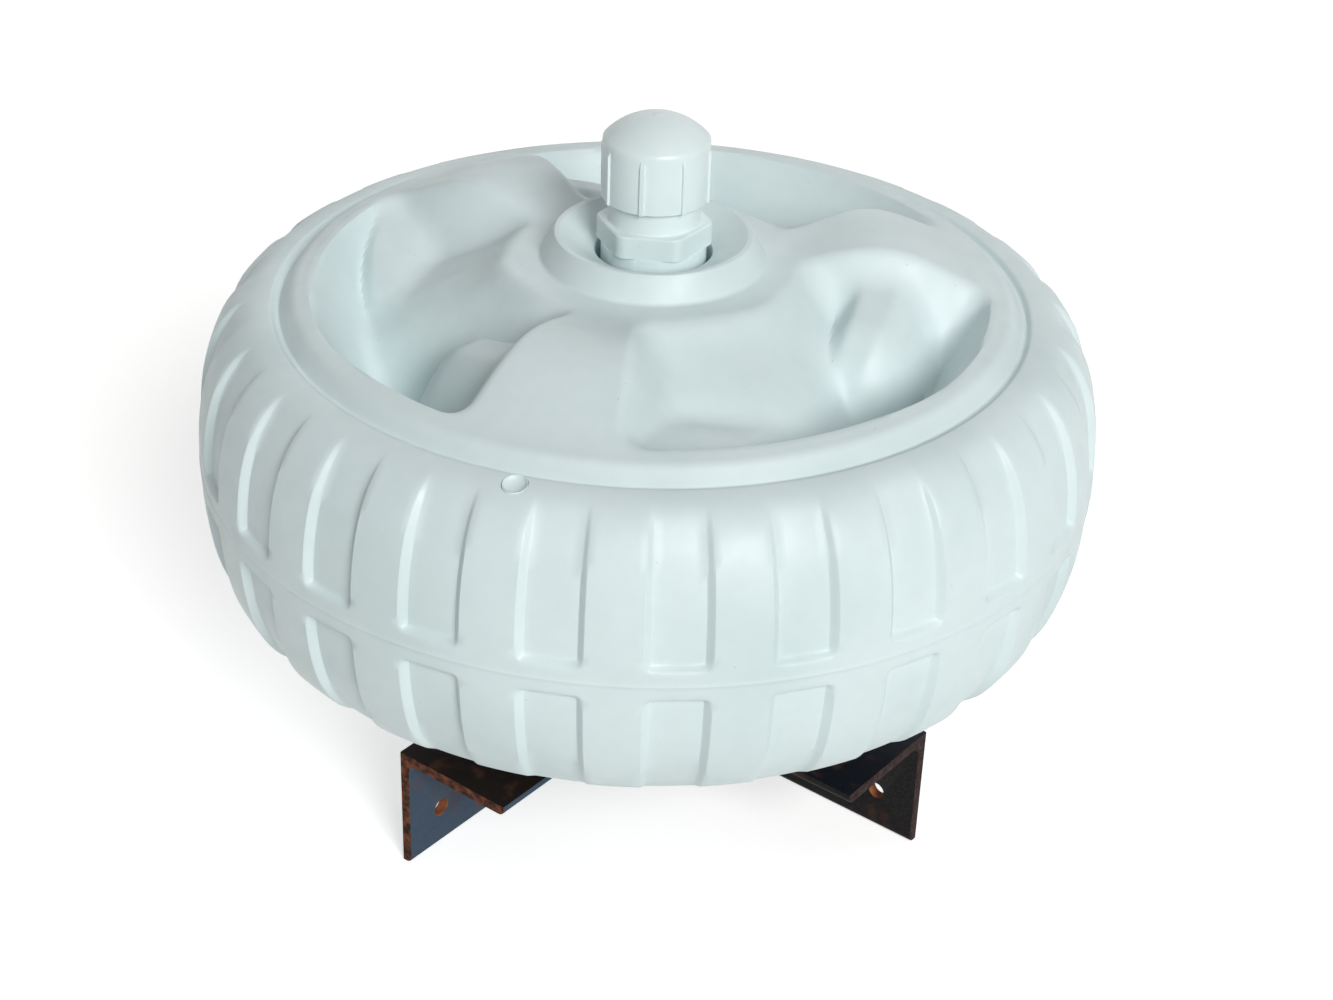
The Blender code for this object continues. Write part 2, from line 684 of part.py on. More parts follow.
def build_adapter(material):
    """Male pipe adapter: socket, hexagon, plain neck and the spigot that the cap screws on."""
    angles = even_angles(BORE_COLUMNS, HEX_TURN)
    socket = PIPE_RADIUS + TOUCH
    bottom = HEX_Z - SOCKET_DEPTH
    bevel = 0.8 * MM

    def round_ring(radius, height):
        return ring(angles, radius, height)

    rings = [
        round_ring(socket, bottom),
        round_ring(SOCKET_RADIUS, bottom),
        round_ring(SOCKET_RADIUS, HEX_Z - bevel),
        hexagon_ring(angles, HEX_Z),
        hexagon_ring(angles, NECK_Z),
        round_ring(NECK_RADIUS + 2.0 * bevel, NECK_Z),
        round_ring(NECK_RADIUS, NECK_Z + bevel),
        round_ring(NECK_RADIUS, CAP_Z - TOUCH),
        round_ring(SPIGOT_RADIUS, CAP_Z - TOUCH),
        round_ring(SPIGOT_RADIUS, SPIGOT_TOP),
        round_ring(ADAPTER_BORE, SPIGOT_TOP),
        round_ring(ADAPTER_BORE, HEX_Z),
        round_ring(socket, HEX_Z),
    ]
    return add_object("pipe_adapter", skin("pipe_adapter", rings, closed=True), material)


def build_end_washer(material):
    """Steel washer that holds the adapter down on the spindle."""
    thick = END_WASHER_THICKNESS
    return build_washer("end_washer", END_WASHER_HOLE, END_WASHER_RADIUS, END_WASHER_Z, thick, 24, material)


def build_end_bolt(material):
    """Hexagon bolt in the spindle's upper end."""
    head = even_angles(6)
    corner = BOLT_HEAD_FLATS / 2.0 / math.cos(30.0 * DEG)
    shank = even_angles(12)
    tip = BOLT_HEAD_Z - BOLT_LENGTH
    rings = [
        ring(shank, BOLT_RADIUS, tip),
        ring(shank, BOLT_RADIUS, BOLT_HEAD_Z),
        ring(head, corner, BOLT_HEAD_Z),
        ring(head, corner, BOLT_HEAD_Z + BOLT_HEAD_HEIGHT),
    ]
    return add_object("end_bolt", skin("end_bolt", rings), material)


def rib_columns():
    """Column angles of the cap, with each rib's root and crest edges, and which columns stand out."""
    root = RIB_WIDTH / 2.0 / CAP_RADIUS
    crest = 0.6 * root
    pitch = 2.0 * math.pi / RIB_COUNT
    edges = np.array([-root, -crest, crest, root, pitch / 3.0, 2.0 * pitch / 3.0])
    raised = np.array([0.0, 1.0, 1.0, 0.0, 0.0, 0.0])
    centres = RIB_TURN + np.arange(RIB_COUNT) * pitch
    return (centres[:, None] + edges).ravel(), np.tile(raised, RIB_COUNT)


def build_cap(material):
    """Threaded cap: a domed top over a skirt with upright ribs, hollow where the spigot goes in."""
    angles, raised = rib_columns()
    bore = SPIGOT_RADIUS + TOUCH
    shoulder = CAP_Z + CAP_SKIRT
    rib_top = shoulder - RIB_TOP_DROP
    ball = (CAP_RADIUS ** 2 + CAP_DOME ** 2) / (2.0 * CAP_DOME)
    rings = [
        ring(angles, bore, CAP_Z + CAP_CAVITY),
        ring(angles, bore, CAP_Z),
        ring(angles, CAP_RADIUS + RIB_HEIGHT * raised, CAP_Z),
        ring(angles, CAP_RADIUS + RIB_HEIGHT * raised, rib_top),
        ring(angles, CAP_RADIUS, rib_top + RIB_HEIGHT),
    ]
    rim_turn = math.asin(CAP_RADIUS / ball)
    for turn in np.linspace(rim_turn, 0.0, 6)[:-1]:
        height = shoulder + CAP_DOME - ball * (1.0 - math.cos(turn))
        rings.append(ring(angles, ball * math.sin(turn), height))
    return add_object("threaded_cap", skin("threaded_cap", rings), material)


def main():
    """Build every piece of the dock wheel."""
    clear_scene()
    moulded = make_material("moulded_polyethylene", (0.74, 0.80, 0.79), 0.45)
    fitting = make_material("white_pvc", (0.78, 0.83, 0.82), 0.35)
    slip = make_material("slip_plastic", (0.70, 0.72, 0.71), 0.40)
    mill_steel = make_material("mill_scale_steel", (0.045, 0.05, 0.06), 0.65, 0.6)
    weld = make_material("weld_metal", (0.09, 0.075, 0.065), 0.6, 0.7)
    bright = make_material("zinc_plated_steel", (0.55, 0.56, 0.57), 0.35, 1.0)

    wheel_axis = bpy.data.objects.new("wheel_axis", None)
    wheel_axis.location = (0.0, 0.0, WHEEL_Z)
    bpy.context.scene.collection.objects.link(wheel_axis)
    build_wheel(moulded, wheel_axis)
    build_vent_plug(moulded, wheel_axis)

    build_left_angle(mill_steel)
    build_right_angle(mill_steel)
    build_seat_weld(weld)
    build_corner_weld(weld)
    build_edge_weld(weld)
    build_spindle(mill_steel)
    build_spindle_weld(weld)
    build_washers(bright, slip)
    build_foot_collar(fitting)
    build_sleeve(fitting)
    build_adapter(fitting)
    build_end_washer(bright)
    build_end_bolt(bright)
    build_cap(fitting)


main()
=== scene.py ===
"""Looks of the corner dock wheel: a moulded plastic wheel on a bracket of two steel angles.

Metres, +Z up, in the CAD frame: the origin is on the wheel's axle, on the face that sits on the
dock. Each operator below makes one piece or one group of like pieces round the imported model.
"""
import math

import bpy
import numpy as np
from bpy.props import FloatProperty, FloatVectorProperty, IntProperty, PointerProperty
from mathutils import Matrix, Vector


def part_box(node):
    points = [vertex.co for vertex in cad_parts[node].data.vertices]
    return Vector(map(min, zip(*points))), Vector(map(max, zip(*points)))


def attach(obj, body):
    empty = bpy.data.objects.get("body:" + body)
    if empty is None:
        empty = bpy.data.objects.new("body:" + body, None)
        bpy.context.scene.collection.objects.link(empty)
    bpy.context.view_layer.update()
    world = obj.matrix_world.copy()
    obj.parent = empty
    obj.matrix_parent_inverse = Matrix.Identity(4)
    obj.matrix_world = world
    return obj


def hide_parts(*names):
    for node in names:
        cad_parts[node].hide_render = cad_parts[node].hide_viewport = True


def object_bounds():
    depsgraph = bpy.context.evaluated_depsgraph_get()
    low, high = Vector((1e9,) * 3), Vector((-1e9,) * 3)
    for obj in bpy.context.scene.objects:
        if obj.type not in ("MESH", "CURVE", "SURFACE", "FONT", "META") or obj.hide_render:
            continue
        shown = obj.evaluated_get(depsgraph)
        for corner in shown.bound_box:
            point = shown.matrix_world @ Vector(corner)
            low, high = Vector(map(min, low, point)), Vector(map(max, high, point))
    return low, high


bl_info = {
    "name": "Corner dock wheel",
    "version": (1, 0, 0),
    "blender": (4, 5, 0),
    "location": "View3D > Sidebar > Dock wheel",
    "description": "Makes the visible pieces of a moulded corner dock wheel and its steel bracket",
    "category": "Object",
}

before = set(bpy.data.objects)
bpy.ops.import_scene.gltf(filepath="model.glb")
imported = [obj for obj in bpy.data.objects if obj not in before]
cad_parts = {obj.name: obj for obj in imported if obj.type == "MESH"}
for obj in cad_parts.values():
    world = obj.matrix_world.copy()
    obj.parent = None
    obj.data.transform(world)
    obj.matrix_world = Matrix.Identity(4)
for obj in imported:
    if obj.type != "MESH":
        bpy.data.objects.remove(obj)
CAD_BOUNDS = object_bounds()

MM = 0.001
DEG = math.pi / 180.0
TOUCH = 0.3 * MM

WHEEL_LOW, WHEEL_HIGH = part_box("wheel")
ADAPTER_LOW, ADAPTER_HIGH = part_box("pipe_adapter")
CAP_LOW, CAP_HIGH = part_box("threaded_cap")
LEFT_LOW, LEFT_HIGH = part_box("left_angle")
RIGHT_LOW, RIGHT_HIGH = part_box("right_angle")
MIDDLE = (WHEEL_LOW[2] + WHEEL_HIGH[2]) / 2.0
CREST = WHEEL_HIGH[2] - MIDDLE


# Sizes and colours that a user may change


def length(name, default, text):
    """A length property with its default in millimetres."""
    return FloatProperty(name=name, default=default * MM, description=text, unit="LENGTH", precision=4)


def angle(name, default, text):
    """An angle property with its default in degrees."""
    return FloatProperty(name=name, default=default * DEG, description=text, subtype="ANGLE")


def linear(hex_text):
    """Linear red, green, blue and alpha of an sRGB hex colour."""
    values = [int(hex_text[i : i + 2], 16) / 255.0 for i in (1, 3, 5)]
    curve = [v / 12.92 if v <= 0.04045 else ((v + 0.055) / 1.055) ** 2.4 for v in values]
    return (*curve, 1.0)


def colour(name, hex_text, text):
    """A colour property from an sRGB hex value."""
    value = linear(hex_text)
    return FloatVectorProperty(
        name=name, default=value, description=text, subtype="COLOR", size=4, min=0.0, max=1.0
    )


class DockWheelSizes(bpy.types.PropertyGroup):
    """Sizes of the moulded wheel."""

    bore: length("Bore", 32.0, "Radius of the wheel's bore")
    dish: length("Dish depth", 10.3, "Depth of the conical dish in the hub")
    crest_radius: length("Crest radius", 54.0, "Outer radius of the hub's crest")
    crest_land: length("Crest land", 3.0, "Width of the crest")
    foot_radius: length("Hub foot radius", 61.5, "Radius at which the hub meets the face")
    foot: length("Hub foot height", 109.0, "Height of the hub's foot above the mid-plane")
    ridge_radius: length("Ridge radius", 195.0, "Radius of the ridge round the face")
    ridge: length("Ridge height", 92.0, "Height of the ridge above the mid-plane")
    crown: length("Crown", 16.0, "How far the face bulges between the hub and the ridge")
    tyre_bulge: length("Tyre bulge", 46.0, "From the groove's radius out to the tread")
    radius: length("Wheel radius", 250.0, "Outer radius of the tread")
    half_width: length("Tyre half width", 85.5, "Half the tyre's height")
    groove_drop: length("Groove drop", 2.7, "Depth of the groove beside the ridge")
    squareness: FloatProperty(name="Squareness", default=2.4, description="Power of the tyre's section")
    recess_turn: angle("Recess turn", -9.4, "Direction of the middle of the first recess")
    recess_half: angle("Recess half angle", 47.2, "Half the angle that a recess covers")
    recess_inner: length("Recess inner radius", 79.0, "Radius of the recess lip on the hub side")
    recess_outer: length("Recess outer radius", 184.0, "Radius of the recess lip on the ridge side")
    recess_floor: length("Recess floor", 74.0, "Depth at which the floor would be flat")
    tread_count: IntProperty(name="Tread count", default=25, description="Pockets in each row")
    tread_turn: angle("Tread turn", -48.0, "Direction of the first pocket")
    pocket_depth: length("Pocket depth", 4.0, "Depth of the tread pockets")
    pocket_width: length("Pocket width", 34.0, "Width of a pocket along the tread")
    pocket_wall: length("Pocket wall", 3.5, "Width of a pocket's sloping wall")
    band_half: length("Band half width", 7.4, "Half the plain band between the two rows")
    parting_height: length("Parting line height", 0.35, "How far the mould's parting line stands out")


class DockFittingSizes(bpy.types.PropertyGroup):
    """Sizes of the pipe fitting and of the vent's plug."""

    socket: length("Socket radius", 28.7, "Outer radius of the adapter's socket")
    pipe: length("Pipe radius", 24.15, "Radius of the pipe in the socket")
    hex_flats: length("Hexagon flats", 56.0, "Width across the hexagon's flats")
    hex_corner: length("Hexagon corner radius", 31.2, "Radius that rounds the hexagon's corners")
    hex_height: length("Hexagon height", 12.7, "Height of the hexagon")
    hex_turn: angle("Hexagon turn", -28.0, "Direction of one of the hexagon's corners")
    neck: length("Neck radius", 24.9, "Radius of the neck under the cap")
    neck_height: length("Neck height", 13.2, "Height of the neck")
    spigot: length("Spigot radius", 23.9, "Radius of the threaded end inside the cap")
    spigot_bore: length("Spigot bore", 19.6, "Radius of the bore through the threaded end")
    cap: length("Cap radius", 28.9, "Outer radius of the cap's skirt")
    skirt: length("Cap skirt", 33.3, "Height of the cap's skirt")
    dome: length("Cap dome", 13.0, "Height of the cap's dome")
    cap_bore: length("Cap bore", 24.2, "Radius of the cap's inside")
    cap_cavity: length("Cap cavity", 31.8, "Depth of the cap's inside")
    rib_count: IntProperty(name="Ribs", default=8, description="Upright ribs on the cap")
    rib_height: length("Rib height", 1.2, "How far a rib stands out")
    rib_width: length("Rib width", 2.4, "Width of a rib")
    rib_turn: angle("Rib turn", -66.3, "Direction of the first rib")
    rib_top_drop: length("Rib top drop", 4.5, "From the rib's top up to the dome")
    vent_turn: angle("Vent turn", -69.2, "Direction of the vent plug")
    vent_radius: length("Vent radius", 6.5, "Radius of the vent plug")
    vent_share: FloatProperty(
        name="Vent share", default=0.22, description="Place of the vent on the shoulder"
    )
    vent_depth: length("Vent depth", 9.0, "Depth of the vent's hole")
    vent_dish: length("Vent dish", 2.5, "Depth of the dish in the plug's face")


class DockBracketSizes(bpy.types.PropertyGroup):
    """Sizes of the steel angles and their welds."""

    steel: length("Steel thickness", 6.35, "Thickness of the angles")
    toe: length("Toe radius", 4.0, "Radius of the angles' toes")
    root: length("Root radius", 6.0, "Radius of the angles' root fillet")
    root_gap: length("Root gap", 3.5, "Gap that the seat weld fills")
    hole: length("Hole radius", 5.0, "Radius of the bolt holes")
    hole_edge: length("Hole edge", 25.4, "From the bolt hole to the angle's edges")
    edge: length("Edge break", 0.5, "Width of the worn edges")
    ripple_pitch: length("Ripple pitch", 2.9, "Spacing of the ripples in the weld beads")
    ripple_height: length("Ripple height", 0.35, "Height of the ripples in the weld beads")
    foot_weld: length("Foot weld", 4.0, "Leg of the fillet weld round the spindle")
    washer_edge: length("Washer edge", 0.5, "Rounding of the washers' edges")


class DockFinishes(bpy.types.PropertyGroup):
    """Colours of the finishes, and of the painted light and shade on the bracket's arms."""

    wheel: colour("Wheel", "#DFEDEE", "Moulded polyethylene")
    wheel_soiled: colour("Wheel, soiled", "#C6D8D8", "Handled and weathered polyethylene")
    fitting: colour("Fitting", "#E7F4F4", "Injection moulded PVC")
    fitting_soiled: colour("Fitting, soiled", "#D2E2E2", "Handled PVC")
    slip: colour("Slip washers", "#C9CDC8", "Acetal washers")
    left_face: colour("Left arm", "#3B4B5C", "Mill scale on the left arm")
    # Painted shade: the darker colour of the left arm's faces that point up.
    left_top_painted_shade: colour("Left arm's top", "#1A1310", "Oiled top of the left arm")
    # Dark scale on the right arm, made darker still with painted shade from the wheel above it.
    right_face_with_painted_shade: colour("Right arm", "#0E0A08", "Mill scale on the right arm")
    # Painted light and shade: the colour of the right arm's faces that point up.
    right_top_painted_light: colour("Right arm's top", "#0B0F18", "Oiled top of the right arm")
    rust: colour("Rust", "#7A4A34", "Thin rust on cut steel")
    rust_dark: colour("Old rust", "#2B1C17", "Dark rust in the pits")
    right_cut: colour("Right arm's cut ends", "#3A3238", "Older cut faces")
    weld: colour("Weld", "#4A4441", "Weld metal")
    zinc: colour("Zinc", "#A9ADB0", "Zinc plating")
    floor: colour("Floor", "#F4F4F2", "Studio floor")


# Shape functions that the wheel shares with its CAD

# Each lobe's inner and outer edges are shares of the recess's width, and move by spread and narrow
# with each metre along the recess. Its crease starts at start, and its nose is askew by skew.
LOBES = (
    dict(
        inner=-0.10, outer=1.00, spread=0.45, narrow=0.36, length=74.0 * MM,
        drop=12.0 * MM, slope=0.17, tilt=0.40, bench=0.60, flank=0.40,
        crease=0.30, start=34.0 * MM, nose=0.020, skew=-0.6, blend=8.0 * MM,
    ),
    dict(
        inner=0.34, outer=0.52, spread=0.0, narrow=0.10, length=40.0 * MM,
        drop=4.0 * MM, slope=0.25, tilt=0.05, bench=1.90, flank=0.22,
        crease=0.40, start=0.0, nose=0.030, skew=0.30, blend=10.0 * MM,
    ),
)
BENCH_BLEND = 5.0 * MM
CREASE_GROWTH = 20.0 * MM
HUB_WALL_REACH = 57.0 * MM
HUB_WALL_DEPTH = (64.0 * MM, 95.0 * MM)
HUB_WALL_TURN = (-18.0 * DEG, 14.0 * DEG)
HUB_WALL_BULGE = 4.0 * MM
HUB_WALL_BULGE_ANGLE = 14.0 * DEG
RIM_WALL_SLOPE = 1.9
END_WALL_SLOPE = 1.7
FLOOR_BLEND = 17.0 * MM
SUMP_RADIUS = 150.0 * MM
SUMP_TURN = 12.0 * DEG
SUMP_REACH = 30.0 * MM
SUMP_DEPTH = 18.0 * MM
END_BLEND = 24.0 * MM
HUB_LIP_BLEND = 6.0 * MM
RIM_LIP_BLEND = 4.0 * MM
RECESS_COUNT = 3
POCKET_CORNER = 5.0 * MM
POCKET_FADE = (78.0 * DEG, 52.0 * DEG)


def fade(value, low, high):
    """0 below low, 1 above high, with an S curve between. It also falls when high is below low."""
    t = np.clip((value - low) / (high - low), 0.0, 1.0)
    return t * t * (3.0 - 2.0 * t)


def soft_min(first, second, blend):
    """The smaller of two values, rounded where they come within the blend of each other."""
    near = np.maximum(blend - np.abs(first - second), 0.0) / blend
    return np.minimum(first, second) - near * near * blend / 4.0


def wrapped(turn, pitch):
    """The turn from the nearest of a row of places that are a pitch apart."""
    return (turn + pitch / 2.0) % pitch - pitch / 2.0


def face_height(sizes, radius):
    """Face without recesses: a straight line from hub foot to ridge plus a squared sine crown."""
    share = (radius - sizes.foot_radius) / (sizes.ridge_radius - sizes.foot_radius)
    crown = sizes.crown * np.sin(math.pi * np.clip(share, 0.0, 1.0)) ** 2
    return sizes.foot + (sizes.ridge - sizes.foot) * share + crown


def lobe_depth(sizes, radius, along, lobe):
    """A lobe's skin: a shelf that falls outwards to a bench, and drops at its edge, crease and nose.

    depth = softmin(shelf, bench) + slope * along + flank * out^1.5 + crease * in^1.5 + nose * past^2.
    The shelf is measured from the hub-side lip's height, and the bench rises to the ridge-side lip.
    """
    width = sizes.recess_outer - sizes.recess_inner
    inner = sizes.recess_inner + lobe["inner"] * width + lobe["spread"] * along
    outer = sizes.recess_inner + lobe["outer"] * width - lobe["narrow"] * along
    past_outer = np.maximum(radius - outer, 0.0) / MM
    past_inner = np.maximum(inner - radius, 0.0) / MM
    reach = lobe["length"] + lobe["skew"] * (radius - (inner + outer) / 2.0)
    past_nose = np.maximum(along - reach, 0.0) / MM
    grown = fade(along, lobe["start"], lobe["start"] + CREASE_GROWTH)
    crease = lobe["crease"] * past_inner**1.5 * grown
    drops = lobe["flank"] * past_outer**1.5 + crease + lobe["nose"] * past_nose**2
    level = face_height(sizes, radius) - face_height(sizes, sizes.recess_inner)
    fall = lobe["slope"] * along
    shelf = level + lobe["drop"] + lobe["tilt"] * (radius - sizes.recess_inner)
    bench = lobe["bench"] * (sizes.recess_outer - radius)
    return soft_min(shelf, bench, BENCH_BLEND) + fall + drops * MM


def recess_depth(sizes, radius, turn_on_wheel):
    """The soft minimum of a recess's walls, floor and lobes, with the lip rolled into the face."""
    pitch = 2.0 * math.pi / RECESS_COUNT
    turn = wrapped(turn_on_wheel - sizes.recess_turn, pitch)
    from_first = (sizes.recess_half + turn) * radius
    from_second = (sizes.recess_half - turn) * radius
    bulge = HUB_WALL_BULGE * np.exp(-((turn / HUB_WALL_BULGE_ANGLE) ** 2))
    first, second = HUB_WALL_DEPTH
    full = first + (second - first) * fade(turn, *HUB_WALL_TURN)
    hub_wall = full * (1.0 - np.exp(-(radius - sizes.recess_inner - bulge) / HUB_WALL_REACH))
    rim_wall = (sizes.recess_outer - radius) * RIM_WALL_SLOPE
    depth = soft_min(hub_wall, rim_wall, FLOOR_BLEND)
    depth = soft_min(depth, sizes.recess_floor, FLOOR_BLEND)
    outwards = (radius - SUMP_RADIUS) / SUMP_REACH
    sideways = (turn - SUMP_TURN) * SUMP_RADIUS / SUMP_REACH
    depth = depth + SUMP_DEPTH * np.exp(-(outwards**2) - sideways**2)
    depth = soft_min(depth, from_first * END_WALL_SLOPE, END_BLEND)
    depth = soft_min(depth, from_second * END_WALL_SLOPE, END_BLEND)
    for along, lobe in zip((from_first, from_second), LOBES):
        depth = soft_min(depth, lobe_depth(sizes, radius, along, lobe), lobe["blend"])
    rimward = fade(radius, 0.4 * (sizes.recess_inner + sizes.recess_outer), sizes.recess_outer)
    lip = HUB_LIP_BLEND + (RIM_LIP_BLEND - HUB_LIP_BLEND) * rimward
    return -soft_min(-depth, 0.0, lip)


def tyre_section(sizes, turn):
    """Superellipse of the tyre about the groove's radius: radius and height at a turn."""
    power = 2.0 / sizes.squareness
    groove = sizes.radius - sizes.tyre_bulge
    radius = groove + sizes.tyre_bulge * np.cos(turn) ** power
    return radius, sizes.half_width * np.sin(turn) ** power


def tyre_turn(sizes, height):
    """The section's turn at a height on the tyre."""
    return np.arcsin((height / sizes.half_width) ** (sizes.squareness / 2.0))


def pocket_share(sizes, across, up):
    """How far into a tread pocket a point is, 0 to 1: distance inside a rounded rectangle, over
    the wall's width, through an S curve. The rectangle has no upper end."""
    half = sizes.pocket_width / 2.0
    side = np.abs(across) - half + POCKET_CORNER
    end = sizes.band_half - up + POCKET_CORNER
    outside = np.hypot(np.maximum(side, 0.0), np.maximum(end, 0.0))
    inside = POCKET_CORNER - outside - np.minimum(np.maximum(side, end), 0.0)
    return fade(inside, 0.0, sizes.pocket_wall)


# Mesh tools


def mesh_from_arrays(name, points, quads, triangles=None):
    """A mesh from point, quad and triangle index arrays, put in with foreach_set."""
    triangles = np.zeros((0, 3), dtype=np.int32) if triangles is None else triangles
    mesh = bpy.data.meshes.new(name)
    mesh.vertices.add(len(points))
    mesh.vertices.foreach_set("co", np.asarray(points, dtype=np.float32).ravel())
    corners = np.concatenate([quads.ravel(), triangles.ravel()]).astype(np.int32)
    mesh.loops.add(len(corners))
    mesh.loops.foreach_set("vertex_index", corners)
    starts = np.arange(len(quads)) * 4
    more = 4 * len(quads) + np.arange(len(triangles)) * 3
    mesh.polygons.add(len(quads) + len(triangles))
    mesh.polygons.foreach_set("loop_start", np.concatenate([starts, more]).astype(np.int32))
    mesh.update(calc_edges=True)
    mesh.validate()
    return mesh


def grid_mesh(name, grid, ring=False):
    """A closed skin over rows of a grid, shaped (rows, columns, 3), whose columns wrap round.

    With ring set the rows wrap too, as on a torus. Otherwise a centre point closes each end.
    Rows run so that row, then column, turns outwards by the right-hand rule of (column, row).
    """
    rows, columns = grid.shape[:2]
    index = np.arange(rows * columns).reshape(rows, columns)
    right = np.roll(index, -1, axis=1)
    last = rows if ring else rows - 1
    above = np.roll(index, -1, axis=0)
    above_right = np.roll(right, -1, axis=0)
    quads = np.stack([index, right, above_right, above], axis=-1)[:last].reshape(-1, 4)
    points = grid.reshape(-1, 3)
    if ring:
        return mesh_from_arrays(name, points, quads)
    centres = np.stack([grid[0].mean(axis=0), grid[-1].mean(axis=0)])
    count = len(points)
    low = np.stack([right[0], index[0], np.full(columns, count)], axis=-1)
    high = np.stack([index[-1], right[-1], np.full(columns, count + 1)], axis=-1)
    points = np.concatenate([points, centres])
    return mesh_from_arrays(name, points, quads, np.concatenate([low, high]))


def even_angles(count):
    """Angles evenly spaced round a circle."""
    return np.arange(count) * 2.0 * math.pi / count


def around(radius, turn, height):
    """Points at a radius, at a turn about the Z axis and at a height. Each may be an array."""
    radius, turn, height = np.broadcast_arrays(radius, turn, height)
    return np.stack([radius * np.cos(turn), radius * np.sin(turn), height], axis=-1)


def turned_grid(profile, angles):
    """Rows of a turned shape: each (radius, height) of the profile carried round the Z axis."""
    return around(profile[:, 0, None], angles, profile[:, 1, None])


def eased_path(points, cuts, steps=4):
    """A polyline with each inner corner eased by a quadratic Bezier that starts a cut away."""
    points = np.asarray(points, dtype=float)
    path = [points[:1]]
    share = np.linspace(0.0, 1.0, steps + 1)[:, None]
    for before, corner, after, cut in zip(points, points[1:], points[2:], cuts):
        start = corner + (before - corner) * cut / np.linalg.norm(before - corner)
        end = corner + (after - corner) * cut / np.linalg.norm(after - corner)
        path.append((1 - share) ** 2 * start + 2 * share * (1 - share) * corner + share**2 * end)
    path.append(points[-1:])
    return np.concatenate(path)


def eased_loop(points, cut, steps=3):
    """A closed polyline with every corner eased by the same cut."""
    points = np.asarray(points, dtype=float)
    wrapped = np.concatenate([points[-1:], points, points[:1]])
    return eased_path(wrapped, [cut] * len(points), steps)[1:-1]


def add_object(name, data):
    """A new object in the scene, at the origin."""
    added = bpy.data.objects.new(name, data)
    bpy.context.scene.collection.objects.link(added)
    return added


def shade(mesh, sharp=35.0):
    """Shade a mesh smooth except across edges sharper than the given degrees."""
    mesh.shade_smooth()
    mesh.set_sharp_from_angle(angle=sharp * DEG)


def link_piece(name, mesh, sharp=35.0):
    """A shaded piece made of a mesh."""
    shade(mesh, sharp)
    return add_object(name, mesh)


def apply_modifiers(piece):
    """Bake a piece's modifiers into its mesh."""
    depsgraph = bpy.context.evaluated_depsgraph_get()
    mesh = bpy.data.meshes.new_from_object(piece.evaluated_get(depsgraph))
    piece.modifiers.clear()
    piece.data = mesh
    shade(mesh)


def take_away(piece, mesh, matrix=Matrix.Identity(4)):
    """Cut a closed mesh out of a piece for good."""
    mesh.transform(matrix)
    cutter = add_object(mesh.name, mesh)
    modifier = piece.modifiers.new("cut", "BOOLEAN")
    modifier.operation = "DIFFERENCE"
    modifier.solver = "EXACT"
    modifier.object = cutter
    apply_modifiers(piece)
    bpy.data.objects.remove(cutter, do_unlink=True)


def cylinder_mesh(radius, depth, columns=48):
    """A closed cylinder about Z, centred on the origin."""
    profile = np.array([(radius, -depth / 2.0), (radius, depth / 2.0)])
    return grid_mesh("cylinder", turned_grid(profile, even_angles(columns)))


def box_mesh(low, high):
    """A closed box as a grid of two rows of four points."""
    x = np.array([low[0], high[0], high[0], low[0]])
    y = np.array([low[1], low[1], high[1], high[1]])
    grid = np.stack([np.stack([x, y, np.full(4, z)], axis=-1) for z in (low[2], high[2])])
    return grid_mesh("box", grid)


def coat(piece, *materials):
    """Give a piece these materials in place of those that it has."""
    piece.data.materials.clear()
    for material in materials:
        piece.data.materials.append(material)


def declare(piece, body, slot, node, *materials):
    """Give a piece its materials and its body, and hide the CAD node that it stands for. The slot is
    not used.
    """
    coat(piece, *materials)
    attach(piece, body)
    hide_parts(node)


# Materials


def add_node(tree, kind, values=None, links=None, **settings):
    """Add a node with its settings, its socket values and its incoming links."""
    node = tree.nodes.new(kind)
    for key, value in settings.items():
        setattr(node, key, value)
    for key, value in (values or {}).items():
        node.inputs[key].default_value = value
    for key, source in (links or {}).items():
        tree.links.new(source, node.inputs[key])
    return node


# The sockets of a Map Range node that hold the span it reads and the span it writes.
SPAN_SOCKETS = ("From Min", "From Max", "To Min", "To Max")
WHITE = (1.0, 1.0, 1.0, 1.0)


